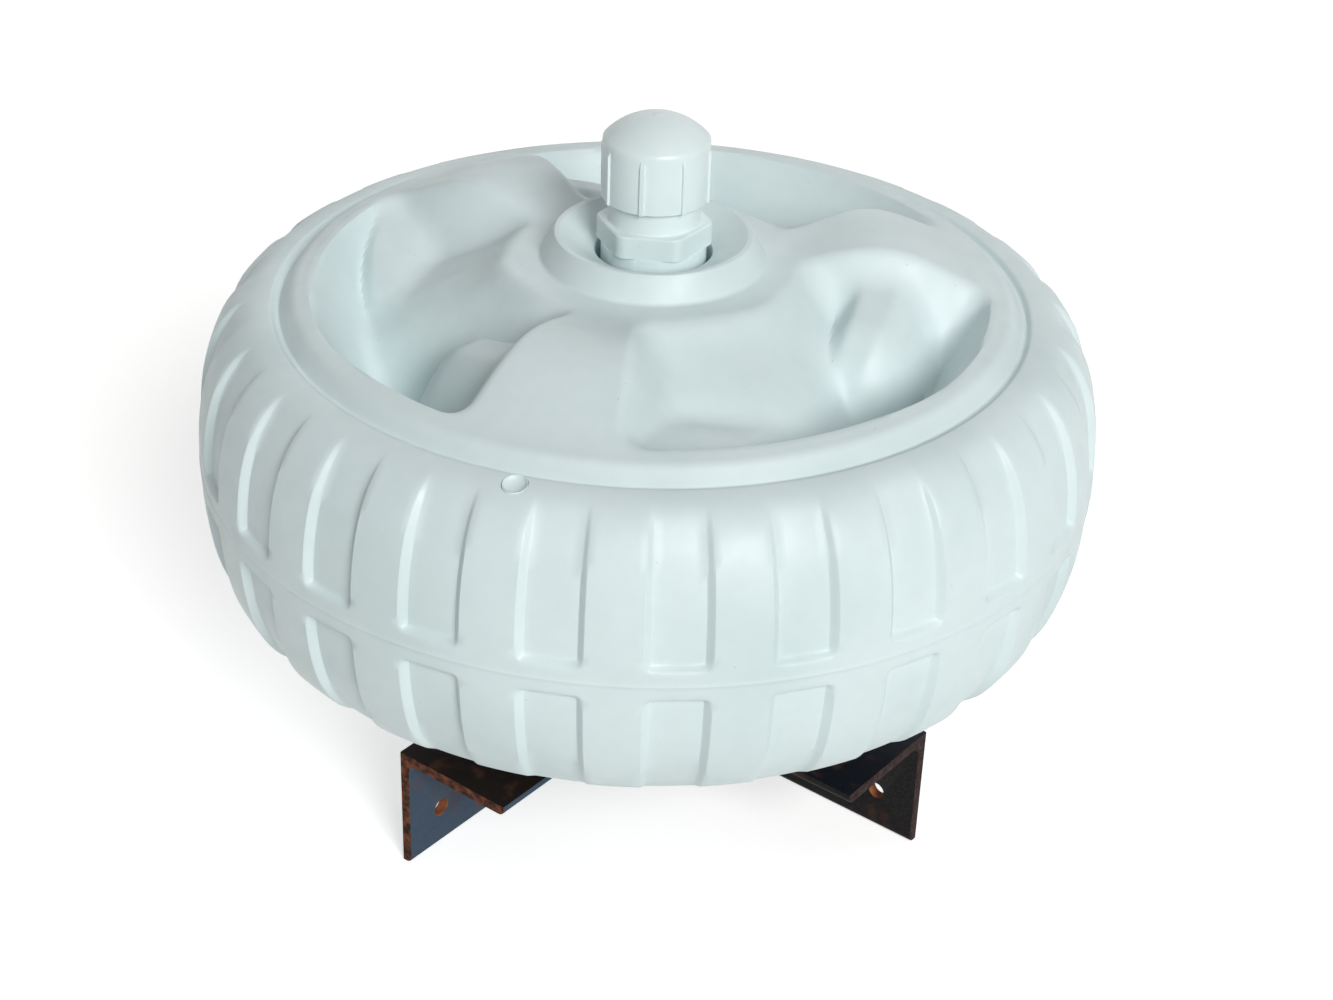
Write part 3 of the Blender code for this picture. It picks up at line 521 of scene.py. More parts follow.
class Look:
    """A Principled material built up in layers: stains over its colour and reliefs over its skin."""

    def __init__(self, name, tint, values):
        self.material = bpy.data.materials.new(name)
        self.material.use_nodes = True
        self.tree = self.material.node_tree
        self.shader = self.tree.nodes["Principled BSDF"]
        self.place = add_node(self.tree, "ShaderNodeTexCoord")
        self.tint, self.stained, self.normal = tint, None, None
        for socket, value in {"Base Color": tint, **values}.items():
            self.shader.inputs[socket].default_value = value

    def texture(self, size, detail, kind="ShaderNodeTexNoise", output="Fac", more=None, **settings):
        """A texture in object space, whose grain is about the given size in metres."""
        values = {"Scale": 1.0 / size, "Detail": detail, **(more or {})}
        links = {"Vector": self.place.outputs["Object"]}
        return add_node(self.tree, kind, values, links, **settings).outputs[output]

    def stain(self, colour, source, span, amounts=(0.0, 1.0)):
        """Lay a colour over the tint, by how far the source is through its span. Returns the share.

        A Mix node's two colours are its sockets 6 and 7, and the mixed colour is its output 2.
        """
        values = dict(zip(SPAN_SOCKETS, (*span, *amounts)))
        settings = {"interpolation_type": "SMOOTHSTEP"}
        share = add_node(self.tree, "ShaderNodeMapRange", values, {"Value": source}, **settings)
        links = {"Factor": share.outputs["Result"]}
        if self.stained:
            links[6] = self.stained
        mix = add_node(self.tree, "ShaderNodeMix", {6: self.tint, 7: colour}, links, data_type="RGBA")
        self.stained = mix.outputs[2]
        self.tree.links.new(self.stained, self.shader.inputs["Base Color"])
        return share.outputs["Result"]

    def roughen(self, source, span, roughness):
        """Let the roughness follow a source, smoothly from the start of its span to the end."""
        values = dict(zip(SPAN_SOCKETS, (*span, *roughness)))
        settings = {"interpolation_type": "SMOOTHSTEP"}
        rough = add_node(self.tree, "ShaderNodeMapRange", values, {"Value": source}, **settings)
        self.tree.links.new(rough.outputs["Result"], self.shader.inputs["Roughness"])

    def emboss(self, source, depth, strength):
        """Lay a relief of a real depth over the reliefs so far."""
        links = {"Height": source}
        if self.normal:
            links["Normal"] = self.normal
        bump = add_node(self.tree, "ShaderNodeBump", {"Distance": depth, "Strength": strength}, links)
        self.normal = bump.outputs["Normal"]
        self.tree.links.new(self.normal, self.shader.inputs["Normal"])


def moulded_plastic(name, clean, soiled, wave, peel, roughness):
    """Moulded plastic: a faint wave where the wall shrank as it cooled, a fine orange peel from the
    mould's skin, broad soiled patches, and a few specks that are trapped in the surface."""
    look = Look(name, clean, {"IOR": 1.51})
    look.stain(soiled, look.texture(110 * MM, 4.0), (0.42, 0.72), (0.0, 0.45))
    look.stain(soiled, look.texture(9 * MM, 3.0), (0.35, 0.75), (0.0, 0.10))
    specks = look.texture(17 * MM, 0.0, "ShaderNodeTexVoronoi", "Distance")
    look.stain(linear("#9AA8A4"), specks, (0.018, 0.035), (0.4, 0.0))
    look.roughen(look.texture(14 * MM, 3.0), (0.3, 0.7), roughness)
    look.emboss(look.texture(wave, 1.0), 0.5 * MM, 0.30)
    look.emboss(look.texture(peel, 2.0), 0.08 * MM, 0.35)
    return look.material


def mill_scale(name, face, top, finishes, rust_amount):
    """Hot rolled steel: blue-grey mill scale that flakes to thin rust, with painted light and shade on
    top, where faces that point up get their own colour.

    Scale is dull, so its specular level is low and the white surround hardly shows in it.
    """
    look = Look(name, face, {"Specular IOR Level": 0.12})
    links = {"Vector": look.place.outputs["Normal"]}
    normal = add_node(look.tree, "ShaderNodeSeparateXYZ", links=links)
    worn = tuple(0.97 * np.array(face) + 0.03 * np.array(linear("#8792A0")))
    look.stain(worn, look.texture(2.2 * MM, 4.0), (0.35, 0.70))
    # Painted light and shade: faces that point up take the top colour in place of the light that falls
    # on them.
    look.stain(top, normal.outputs["Z"], (0.3, 0.8))
    flakes = look.texture(16 * MM, 7.0)
    flaked = look.stain(finishes.rust, flakes, (0.54, 0.74), (0.0, rust_amount))
    look.stain(finishes.rust_dark, look.texture(1.3 * MM, 3.0), (0.60, 0.72), (0.0, 0.35))
    look.roughen(flaked, (0.0, 0.5), (0.52, 0.85))
    look.emboss(look.texture(6 * MM, 5.0), 0.15 * MM, 0.4)
    look.emboss(look.texture(1.1 * MM, 3.0), 0.05 * MM, 0.4)
    return look.material


def cut_steel(name, fresh, dark):
    """Sawn steel ends under thin rust: fine saw lines, brown on grey, dull all over."""
    look = Look(name, dark, {"Roughness": 0.8, "Specular IOR Level": 0.12})
    look.stain(fresh, look.texture(4 * MM, 6.0), (0.36, 0.70))
    look.stain(linear("#8A6A55"), look.texture(0.9 * MM, 3.0), (0.50, 0.75), (0.0, 0.30))
    wave = ("ShaderNodeTexWave", "Fac", {"Distortion": 0.8})
    saw_lines = look.texture(2.6 * MM, 1.0, *wave, bands_direction="DIAGONAL")
    look.emboss(saw_lines, 0.04 * MM, 0.4)
    look.emboss(look.texture(1.5 * MM, 4.0), 0.10 * MM, 0.6)
    return look.material


def weld_metal(name, finishes):
    """Arc weld metal: grey beads with blue heat tint, and rust in the hollows of the ripples."""
    look = Look(name, finishes.weld, {"Metallic": 0.6})
    look.stain(linear("#3A3F4C"), look.texture(8 * MM, 3.0), (0.40, 0.65))
    rusted = look.stain(finishes.rust, look.texture(3 * MM, 5.0), (0.50, 0.68), (0.0, 0.8))
    look.roughen(rusted, (0.0, 0.6), (0.42, 0.78))
    look.emboss(look.texture(1.4 * MM, 4.0), 0.12 * MM, 0.5)
    return look.material


def zinc_plate(name, finishes):
    """Zinc plated steel: bright grey with cloudy passivation and fine tumbling marks."""
    look = Look(name, finishes.zinc, {"Metallic": 0.95})
    clouded = look.stain(linear("#8C9196"), look.texture(7 * MM, 4.0), (0.35, 0.70))
    look.stain(finishes.rust, look.texture(16 * MM, 5.0), (0.60, 0.72), (0.0, 0.5))
    look.roughen(clouded, (0.0, 1.0), (0.28, 0.45))
    look.emboss(look.texture(0.9 * MM, 2.0), 0.03 * MM, 0.5)
    return look.material


def material_named(name, make, *values):
    """The detailed look of a named material, made once. The solids have the bare names already."""
    look = name + "_look"
    return bpy.data.materials.get(look) or make(look, *values)


def wheel_plastic(context):
    """Blow moulded high-density polyethylene: near white, satin."""
    tints = context.scene.dock_finishes
    values = (tuple(tints.wheel), tuple(tints.wheel_soiled), 42 * MM, 2.4 * MM, (0.40, 0.52))
    return material_named("moulded_polyethylene", moulded_plastic, *values)


def fitting_plastic(context):
    """Injection moulded PVC: near white, a little glossier than the wheel."""
    tints = context.scene.dock_finishes
    values = (tuple(tints.fitting), tuple(tints.fitting_soiled), 18 * MM, 1.2 * MM, (0.30, 0.42))
    return material_named("white_pvc", moulded_plastic, *values)


def slip_material(context):
    """Acetal sheet: off-white, waxy, with turned edges."""
    tint = tuple(context.scene.dock_finishes.slip)
    values = (tint, linear("#A9AAA2"), 12 * MM, 1.0 * MM, (0.34, 0.46))
    return material_named("slip_acetal", moulded_plastic, *values)


def bracket_materials(context, side):
    """Mill scale and cut ends for one arm."""
    tints = context.scene.dock_finishes
    # The top colours are painted light and shade on the faces that point up.
    if side == "left":
        face, top, cut, amount = tints.left_face, tints.left_top_painted_shade, tints.rust, 0.30
    else:
        # The right arm's face colour is dark scale with painted shade from the wheel above it.
        face, top, cut, amount = tints.right_face_with_painted_shade, tints.right_top_painted_light, tints.right_cut, 0.22
    scale = material_named(side + "_mill_scale", mill_scale, tuple(face), tuple(top), tints, amount)
    ends = material_named(side + "_cut_steel", cut_steel, tuple(cut), tuple(tints.rust_dark))
    hole = material_named("drilled_steel", cut_steel, linear("#A0633F"), tuple(tints.rust))
    return scale, ends, hole


# Operators, one for each piece or group


def tread_columns(sizes, per_pocket):
    """Column angles gathered on the pockets' walls: four a wall, four on the floor, six a land."""
    half, wall = sizes.pocket_width / 2.0, sizes.pocket_wall
    edge = half - wall + np.linspace(-0.05, 1.05, 4) * wall
    floor = np.linspace(-edge[0], edge[0], 6)[1:-1]
    pitch = 2.0 * math.pi * sizes.radius / sizes.tread_count
    land = np.linspace(edge[-1], pitch - edge[-1], per_pocket - 10)[1:-1]
    across = np.concatenate([-edge[::-1], floor, edge, land])
    starts = sizes.tread_turn + even_angles(sizes.tread_count)
    return (starts[:, None] + across / sizes.radius).ravel()


# Runs of the section beside its corners, and how far from each corner its easing starts.
BORE_RUN = 8.0 * MM
FOOT_RUN = 12.0 * MM
LIP_RUN = 4.5 * MM
HUB_EASES = (0.8 * MM, 0.5 * MM, 0.6 * MM, 1.8 * MM)
EDGE_EASES = (3.0 * MM, 0.7 * MM, 0.7 * MM, 1.2 * MM)
# The groove's floor across its radius, the tyre's first point beyond it, and the turns between
# which the tyre's section is drawn evenly.
GROOVE_FLOOR = (-1.5 * MM, 0.5 * MM)
TYRE_EDGE = (3.0 * MM, -0.2 * MM)
TYRE_TURNS = (81.0 * DEG, 12.0 * DEG)
# Rows across a recess and up the tyre, and columns for each pocket. The columns gather between
# some rows before the ridge's first one and some after the tyre's first one.
RECESS_ROWS = 47
TYRE_ROWS = 14
POCKET_COLUMNS = 18
GATHER_ROWS = (4, 3)
# Heights of the rows that draw the pockets' ends, the plain band and the parting line.
BAND_ROWS = np.array([0.45, 0.9, 2.5, 5.0, 7.2, 8.2, 9.2, 10.2, 11.4, 13.0, 17.0]) * MM
PARTING_LINE = (0.9 * MM, 0.3 * MM)


def face_section(sizes):
    """The section from the bore to the tyre as rows of radius and height: hub, face and edge."""
    start = sizes.foot_radius + FOOT_RUN
    corners = [
        (sizes.bore, CREST - sizes.dish - BORE_RUN),
        (sizes.bore, CREST - sizes.dish),
        (sizes.crest_radius - sizes.crest_land, CREST),
        (sizes.crest_radius, CREST),
        (sizes.foot_radius, sizes.foot),
        (start, face_height(sizes, start)),
    ]
    hub = eased_path(corners, HUB_EASES)
    inner = np.linspace(start, sizes.recess_inner, 3)[1:-1]
    middle = np.linspace(sizes.recess_inner, sizes.recess_outer, RECESS_ROWS)
    lip = np.linspace(sizes.recess_outer, sizes.ridge_radius - LIP_RUN, 4)[1:]
    radius = np.concatenate([inner, middle, lip])
    face = np.stack([radius, face_height(sizes, radius)], axis=-1)
    groove, floor = sizes.radius - sizes.tyre_bulge, sizes.half_width - sizes.groove_drop
    corners = [
        face[-1],
        (sizes.ridge_radius, sizes.ridge),
        (groove + GROOVE_FLOOR[0], floor),
        (groove + GROOVE_FLOOR[1], floor),
        (groove + TYRE_EDGE[0], sizes.half_width + TYRE_EDGE[1]),
        tyre_section(sizes, TYRE_TURNS[0]),
    ]
    return hub, face, eased_path(corners, EDGE_EASES)[1:-1]


def wheel_half(sizes, side):
    """Grid of one half of the wheel, from the bore out to the mid-plane of the tread.

    Rows follow the section: bore, dish, crest, hub foot, face, ridge, groove, tyre. Columns go from
    even angles on the face to angles gathered on the tread's walls. The height of the face is the
    crowned cone less the recesses, and the tyre's radius is the superellipse less the pockets.
    """
    hub, face, edge = face_section(sizes)
    plain = np.concatenate([hub, face, edge])
    count = len(plain)
    band = tyre_turn(sizes, BAND_ROWS)[::-1]
    turns = np.concatenate([np.linspace(*TYRE_TURNS, TYRE_ROWS), band, [0.0]])
    rows = np.concatenate([plain, np.stack(tyre_section(sizes, turns), axis=-1)])

    tread = tread_columns(sizes, POCKET_COLUMNS)
    even = tread[0] + even_angles(len(tread))
    first, last = count - len(edge) - GATHER_ROWS[0], count + GATHER_ROWS[1]
    mix = fade(np.arange(len(rows)), first, last)[:, None]
    turn = even * (1.0 - mix) + tread * mix
    radius = rows[:, 0, None] * np.ones_like(turn)
    height = rows[:, 1, None] * np.ones_like(turn)

    lo, hi = len(hub), len(hub) + len(face)
    height[lo:hi] -= recess_depth(sizes, radius[lo:hi], turn[lo:hi])

    pitch = 2.0 * math.pi / sizes.tread_count
    across = wrapped(turn - sizes.tread_turn, pitch) * sizes.radius
    sunk = pocket_share(sizes, across[count:], height[count:]) * fade(turns, *POCKET_FADE)[:, None]
    line = fade(height[count:], *PARTING_LINE) - 1.0
    radius[count:] += sizes.parting_height * line - sizes.pocket_depth * sunk
    return around(radius, turn, MIDDLE + side * height)


def vent_matrix(sizes, fitting):
    """Place of the vent's mouth on the tyre's shoulder, its Z axis along the surface normal."""
    turn = math.acos(fitting.vent_share ** (sizes.squareness / 2.0))
    radius, height = tyre_section(sizes, turn)
    step = tyre_section(sizes, turn - 1.0 * DEG)
    lean = math.atan2(height - step[1], step[0] - radius)
    place = Matrix.Rotation(fitting.vent_turn, 4, "Z")
    place = place @ Matrix.Translation((radius, 0.0, height + MIDDLE))
    return place @ Matrix.Rotation(lean, 4, "Y")


class DOCKWHEEL_OT_wheel(bpy.types.Operator):
    """Make the moulded wheel with its lobed recesses and tread pockets"""

    bl_idname = "dock_wheel.wheel"
    bl_label = "Moulded wheel"

    def execute(self, context):
        sizes, fitting = context.scene.dock_wheel_sizes, context.scene.dock_fitting_sizes
        upper, lower = wheel_half(sizes, 1.0), wheel_half(sizes, -1.0)
        grid = np.concatenate([upper, lower[-2::-1]])
        shell = link_piece("wheel_shell", grid_mesh("wheel_shell", grid[::-1], ring=True))
        hole = cylinder_mesh(fitting.vent_radius + TOUCH, 2.0 * fitting.vent_depth)
        take_away(shell, hole, vent_matrix(sizes, fitting))
        declare(shell, "wheel", "moulded_polyethylene", "wheel", wheel_plastic(context))
        return {"FINISHED"}


class DOCKWHEEL_OT_vent(bpy.types.Operator):
    """Make the plug of the moulding vent, with a dished face"""

    bl_idname = "dock_wheel.vent"
    bl_label = "Vent plug"

    def execute(self, context):
        sizes, fitting = context.scene.dock_wheel_sizes, context.scene.dock_fitting_sizes
        radius, rim, edge = fitting.vent_radius, 0.7 * MM, 0.3 * MM
        turns = np.linspace(8.0, 86.0, 9) * DEG
        dish = np.stack([(radius - rim) * np.cos(turns), -fitting.vent_dish * np.sin(turns)], axis=-1)
        side = [(radius, -fitting.vent_depth + TOUCH), (radius, -edge), (radius - edge, 0.0)]
        profile = np.concatenate([side, dish])
        mesh = grid_mesh("vent_button", turned_grid(profile, even_angles(40)))
        mesh.transform(vent_matrix(sizes, fitting))
        plug = link_piece("vent_button", mesh, 50.0)
        declare(plug, "wheel", "moulded_polyethylene", "vent_plug", wheel_plastic(context))
        return {"FINISHED"}


# Worn edges of the pipe fitting, and the fillets at both ends of its neck.
SOCKET_EDGE = 0.5 * MM
HEXAGON_EDGE = 0.3 * MM
HEXAGON_TOP_EDGE = 0.7 * MM
HEXAGON_BLEND = 0.8 * MM
NECK_FILLET = 1.0 * MM
CAP_EDGE = 0.6 * MM
CAP_BORE_EDGE = 0.8 * MM
# Where the skirt's rows start above its foot and end under the dome, and how many there are.
SKIRT_START = 3.0 * MM
SKIRT_END = 1.2 * MM
SKIRT_ROWS = 14
DOME_ROWS = 12
# The disc that the mould's gate left on the dome: turns from the top of the dome's ball, and rise.
GATE_TURNS = np.array([4.5, 4.0, 2.0]) * DEG
GATE_RISE = 0.25 * MM
# A rib's columns on one side and its flank, as shares of its width from its middle, and the fade at
# its upper end.
RIB_COLUMNS = np.array([0.30, 0.42, 0.47, 0.52, 0.58, 0.75])
RIB_FLANK = np.array([0.58, 0.42])
RIB_END = np.array([1.0, -0.8]) * MM


class DOCKWHEEL_OT_adapter(bpy.types.Operator):
    """Make the pipe adapter: socket, hexagon with rounded corners, and neck"""

    bl_idname = "dock_wheel.adapter"
    bl_label = "Pipe adapter"

    def execute(self, context):
        sizes = context.scene.dock_fitting_sizes
        top = CAP_LOW[2] - sizes.neck_height
        foot = top - sizes.hex_height
        neck_top = CAP_LOW[2] - TOUCH
        bottom, head = ADAPTER_LOW[2], ADAPTER_HIGH[2]
        angles = sizes.hex_turn + even_angles(180)
        sixth = 60.0 * DEG
        from_flat = (angles - sizes.hex_turn) % sixth - sixth / 2.0
        hexagon = soft_min(sizes.hex_flats / 2.0 / np.cos(from_flat), sizes.hex_corner, HEXAGON_BLEND)
        socket, pipe, neck = sizes.socket, sizes.pipe + TOUCH, sizes.neck
        rings = (
            (pipe, bottom),
            (socket - SOCKET_EDGE, bottom),
            (socket, bottom + SOCKET_EDGE),
            (socket, foot - HEXAGON_EDGE),
            (hexagon - HEXAGON_EDGE, foot),
            (hexagon, foot + HEXAGON_EDGE),
            (hexagon, top - HEXAGON_TOP_EDGE),
            (hexagon - HEXAGON_TOP_EDGE, top),
            (neck + NECK_FILLET, top),
            (neck + 0.3 * NECK_FILLET, top + 0.3 * NECK_FILLET),
            (neck, top + NECK_FILLET),
            (neck, neck_top - NECK_FILLET),
            (sizes.spigot, neck_top),
            (sizes.spigot, head),
            (sizes.spigot_bore, head),
            (sizes.spigot_bore, foot),
            (pipe, foot),
        )
        rows = np.stack([around(radius, angles, height) for radius, height in rings])
        piece = link_piece("hexagon_adapter", grid_mesh("hexagon_adapter", rows, ring=True), 40.0)
        declare(piece, "bracket", "white_pvc", "pipe_adapter", fitting_plastic(context))
        return {"FINISHED"}


def cap_profile(sizes):
    """The cap's section: up from the bore's roof over the skirt and the dome to the gate's disc."""
    base, bore, outer = CAP_LOW[2], sizes.cap_bore, sizes.cap
    shoulder = base + sizes.skirt
    roof = (bore, base + sizes.cap_cavity)
    mouth = [roof, (bore, base + CAP_BORE_EDGE), (bore + CAP_BORE_EDGE, base)]
    rim = [(outer - CAP_EDGE, base), (outer, base + CAP_EDGE)]
    walls = [(outer, z) for z in np.linspace(base + SKIRT_START, shoulder - SKIRT_END, SKIRT_ROWS)]
    ball = (outer**2 + sizes.dome**2) / (2.0 * sizes.dome)
    edge = math.asin(outer / ball)
    turns = [edge - 0.3 * DEG, *np.linspace(edge - 3.0 * DEG, 5.0 * DEG, DOME_ROWS), *GATE_TURNS]
    height = shoulder + sizes.dome - ball * (1.0 - np.cos(turns)) - GATE_RISE
    height[-2:] += GATE_RISE
    return np.concatenate([mouth, rim, walls, np.stack([ball * np.sin(turns), height], axis=-1)])


class DOCKWHEEL_OT_cap(bpy.types.Operator):
    """Make the threaded cap with its upright ribs and domed top"""

    bl_idname = "dock_wheel.cap"
    bl_label = "Ribbed cap"

    def execute(self, context):
        sizes = context.scene.dock_fitting_sizes
        radius, height = cap_profile(sizes).T[..., None]
        shoulder = CAP_LOW[2] + sizes.skirt
        pitch = 2.0 * math.pi / sizes.rib_count
        local = np.concatenate([-RIB_COLUMNS[::-1], RIB_COLUMNS]) * sizes.rib_width / sizes.cap
        between = np.linspace(local[-1], pitch - local[-1], 12)[1:-1]
        starts = sizes.rib_turn + even_angles(sizes.rib_count)
        angles = (starts[:, None] + np.concatenate([local, between])).ravel()
        across = np.abs(wrapped(angles - sizes.rib_turn, pitch)) * sizes.cap
        rib = fade(across, *(RIB_FLANK * sizes.rib_width))
        outside = (radius > sizes.cap - 1.0 * MM) & (height < shoulder)
        tall = fade(height, *(shoulder - sizes.rib_top_drop + RIB_END)) * outside
        grid = around(radius + sizes.rib_height * tall * rib, angles, height)
        piece = link_piece("ribbed_cap", grid_mesh("ribbed_cap", grid), 40.0)
        declare(piece, "bracket", "white_pvc", "threaded_cap", fitting_plastic(context))
        return {"FINISHED"}


def arc(centre, radius, start, end, steps=8):
    """Points on an arc between two angles in degrees, ends included."""
    turns = np.linspace(start, end, steps + 1) * DEG
    return np.stack([centre[0] + radius * np.cos(turns), centre[1] + radius * np.sin(turns)], axis=-1)


def angle_section(sizes, leg):
    """Section of a rolled angle: sharp heel, two rounded toes and a root fillet."""
    steel, toe, root = sizes.steel, sizes.toe, sizes.root
    low = steel - leg
    parts = [
        np.array([(0.0, steel), (leg, steel)]),
        arc((leg - toe, toe), toe, 0.0, -90.0),
        arc((steel + root, -root), root, 90.0, 180.0),
        arc((steel - toe, low + toe), toe, 0.0, -90.0),
        np.array([(0.0, low)]),
    ]
    return np.concatenate(parts)


def prism(name, section, place, start, end):
    """A section carried along an arm, closed by its own outline at both ends."""
    rows = [place(section[:, 0], section[:, 1], np.full(len(section), at)) for at in (start, end)]
    points = np.concatenate([np.stack(row, axis=-1) for row in rows])
    count = len(section)
    mesh = bpy.data.meshes.new(name)
    near = list(range(count))
    far = [count + i for i in reversed(range(count))]
    sides = [(i, (i + 1) % count, count + (i + 1) % count, count + i) for i in range(count)]
    mesh.from_pydata(points.tolist(), [], [near[::-1], far[::-1], *sides])
    mesh.update()
    return mesh


def outward(mesh):
    """Turn a closed mesh's faces outwards, if its volume says that they point in."""
    mesh.calc_loop_triangles()
    points = np.empty(3 * len(mesh.vertices), dtype=np.float32)
    mesh.vertices.foreach_get("co", points)
    corners = np.empty(3 * len(mesh.loop_triangles), dtype=np.int32)
    mesh.loop_triangles.foreach_get("vertices", corners)
    a, b, c = points.reshape(-1, 3)[corners.reshape(-1, 3)].transpose(1, 0, 2)
    if np.einsum("ij,ij->i", a, np.cross(b, c)).sum() < 0.0:
        mesh.flip_normals()
    return mesh


# A face's normal along the arm that makes it a cut end, and the reach of the hole's worn edge.
END_FACE = 0.9
HOLE_SLACK = 0.4 * MM


def paint_cut_faces(piece, along, hole_axis, hole_centre, hole_radius):
    """Give faces across the arm the cut-end material, and faces in the bolt hole the drilled one."""
    mesh = piece.data
    count = len(mesh.polygons)
    normals, centres = np.empty(3 * count), np.empty(3 * count)
    mesh.polygons.foreach_get("normal", normals)
    mesh.polygons.foreach_get("center", centres)
    normals, centres = normals.reshape(-1, 3), centres.reshape(-1, 3)
    index = (np.abs(normals[:, along]) > END_FACE).astype(np.int32)
    apart = np.delete(centres - hole_centre, hole_axis, axis=1)
    index[np.hypot(apart[:, 0], apart[:, 1]) < hole_radius + HOLE_SLACK] = 2
    mesh.polygons.foreach_set("material_index", index)


def break_edges(piece, width):
    """Round a piece's sharp edges a little, as handling does."""
    bevel = piece.modifiers.new("edge", "BEVEL")
    bevel.width = width
    bevel.segments = 2
    bevel.limit_method = "ANGLE"
    bevel.angle_limit = 40.0 * DEG
    apply_modifiers(piece)


def corner_room(sizes, corner, leg):
    """Low and high ends of the boxes that the right arm leaves to the left arm and its root."""
    steel, root = sizes.steel, sizes.root + TOUCH
    reach = leg + sizes.root_gap
    boxes = ((-TOUCH, reach, steel), (-root, steel + root, steel), (-root, reach, -steel))
    for low, right, back in boxes:
        start = (corner[0] - steel, corner[1] - leg - steel, low)
        yield start, (corner[0] + right, corner[1] + back, 2.0 * steel)


class DOCKWHEEL_OT_arms(bpy.types.Operator):
    """Make the two steel angles of the corner bracket"""

    bl_idname = "dock_wheel.arms"
    bl_label = "Bracket arms"

    def execute(self, context):
        sizes = context.scene.dock_bracket_sizes
        corner = LEFT_LOW[0], RIGHT_HIGH[1]
        leg = RIGHT_HIGH[1] - RIGHT_LOW[1]
        steel = sizes.steel
        section = angle_section(sizes, leg)
        hole_up = steel - leg + sizes.hole_edge
        start = steel + TOUCH

        def left_place(across, up, along):
            return corner[0] + across, corner[1] - along, up

        def right_place(across, up, along):
            return corner[0] + along, corner[1] - across, up

        sides = (
            ("left", left_place, corner[1] - LEFT_LOW[1], 1, 0, "Y"),
            ("right", right_place, RIGHT_HIGH[0] - corner[0], 0, 1, "X"),
        )
        for side, place, arm, along, hole_axis, turn in sides:
            mesh = outward(prism(side + "_arm", section, place, start, arm))
            piece = link_piece(side + "_arm", mesh)
            centre = Vector(place(steel / 2.0, hole_up, arm - sizes.hole_edge))
            matrix = Matrix.Translation(centre) @ Matrix.Rotation(90.0 * DEG, 4, turn)
            take_away(piece, cylinder_mesh(sizes.hole, 4.0 * steel), matrix)
            if side == "right":
                for low, high in corner_room(sizes, corner, leg):
                    take_away(piece, box_mesh(low, high))
            break_edges(piece, sizes.edge)
            materials = bracket_materials(context, side)
            declare(piece, "bracket", "mill_scale_steel", side + "_angle", *materials)
            paint_cut_faces(piece, along, hole_axis, np.array(centre), sizes.hole)
        return {"FINISHED"}


# The beads stay inside the joint's outline, and their rows are this far apart.
BEAD_INSET = 0.4 * MM
BEAD_ROW = 0.5 * MM
# How far along a ripple's middle and its toes lie apart, and how the bead wanders in and out.
BEAD_LAG = 1.3 * MM
BEAD_WANDER = 0.25 * MM
BEAD_WANDER_RUN = 9.0 * MM
# The fillet's bulge, and how much of bulge and ripple goes outwards and how much upwards.
FILLET_BULGE = 0.5 * MM
FILLET_LEAN = 0.7


def bead_grid(sizes, length):
    """A weld bead in an open corner joint: a quarter round whose radius ripples along its length.

    The ripples are half-moon steps: a saw of the distance along, which lags towards both toes.
    Returns the two places across the bead and the place along it.
    """
    steel = sizes.steel - BEAD_INSET
    middle = steel / 3.0
    skin = arc((middle, middle), steel - middle, 0.0, 90.0, 12)
    outline = np.concatenate([[(0.0, 0.0), (steel, 0.0)], skin, [(0.0, steel)]])
    along = np.arange(0.0, length + 0.2 * MM, BEAD_ROW)
    along = along * length / along[-1]
    half_turn = np.linspace(0.0, 180.0, len(skin)) * DEG
    lag, swell = np.zeros((2, len(outline)))
    lag[2:-1] = BEAD_LAG * np.sin(half_turn)
    swell[2:-1] = np.abs(np.sin(half_turn)) ** 0.5
    phase = ((along[:, None] + lag) / sizes.ripple_pitch) % 1.0
    raised = sizes.ripple_height * (0.6 * (1.0 - phase) + 0.4 * np.sin(math.pi * phase)) * swell
    wander = BEAD_WANDER * np.sin(along / BEAD_WANDER_RUN)[:, None] * swell
    spoke = outline - middle
    unit = spoke / np.maximum(np.linalg.norm(spoke, axis=1), 1e-6)[:, None]
    section = outline + (raised + wander)[..., None] * unit
    return section[..., 0], section[..., 1], along[:, None] + 0.0 * phase


def fillet_grid(sizes, low):
    """The fillet weld round the spindle: a triangle's hypotenuse that bulges and ripples."""
    inner, leg = -low[0] - sizes.foot_weld, sizes.foot_weld
    angles = even_angles(240)
    share = np.linspace(0.0, 1.0, 9)[:, None]
    phase = (angles * inner / sizes.ripple_pitch) % 1.0
    bulge = (FILLET_BULGE + sizes.ripple_height * (1.0 - phase)) * np.sin(math.pi * share)
    skin = around(inner + leg * (1.0 - share) + FILLET_LEAN * bulge, angles, low[2] + leg * share)
    skin[..., 2] += FILLET_LEAN * bulge
    return np.concatenate([skin, around(inner, angles, low[2])[None]])


class DOCKWHEEL_OT_welds(bpy.types.Operator):
    """Make the rippled weld beads of the corner joint and of the spindle's foot"""

    bl_idname = "dock_wheel.welds"
    bl_label = "Weld beads"

    def execute(self, context):
        sizes, tints = context.scene.dock_bracket_sizes, context.scene.dock_finishes
        metal = material_named("weld_metal", weld_metal, tints)
        right, back = LEFT_LOW[0] + sizes.steel, RIGHT_HIGH[1] - sizes.steel

        def upright(low, out_left, out_back, along):
            return right - out_left, back + out_back, low[2] + along

        def level(low, out_back, up, along):
            return low[0] + along, back + out_back, low[2] + up

        beads = []
        for name, place, axis in (("corner", upright, 2), ("edge", level, 0)):
            low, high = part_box(name + "_weld")
            grid = np.stack(place(low, *bead_grid(sizes, high[axis] - low[axis])), axis=-1)
            beads.append((name + "_bead", name + "_weld", grid, False))
        low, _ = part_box("spindle_weld")
        beads.append(("spindle_foot_bead", "spindle_weld", fillet_grid(sizes, low), True))
        for name, node, grid, ring in beads:
            piece = link_piece(name, outward(grid_mesh(name, grid, ring)), 50.0)
            declare(piece, "bracket", "weld_metal", node, metal)
        coat(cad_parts["seat_weld"], metal)
        return {"FINISHED"}


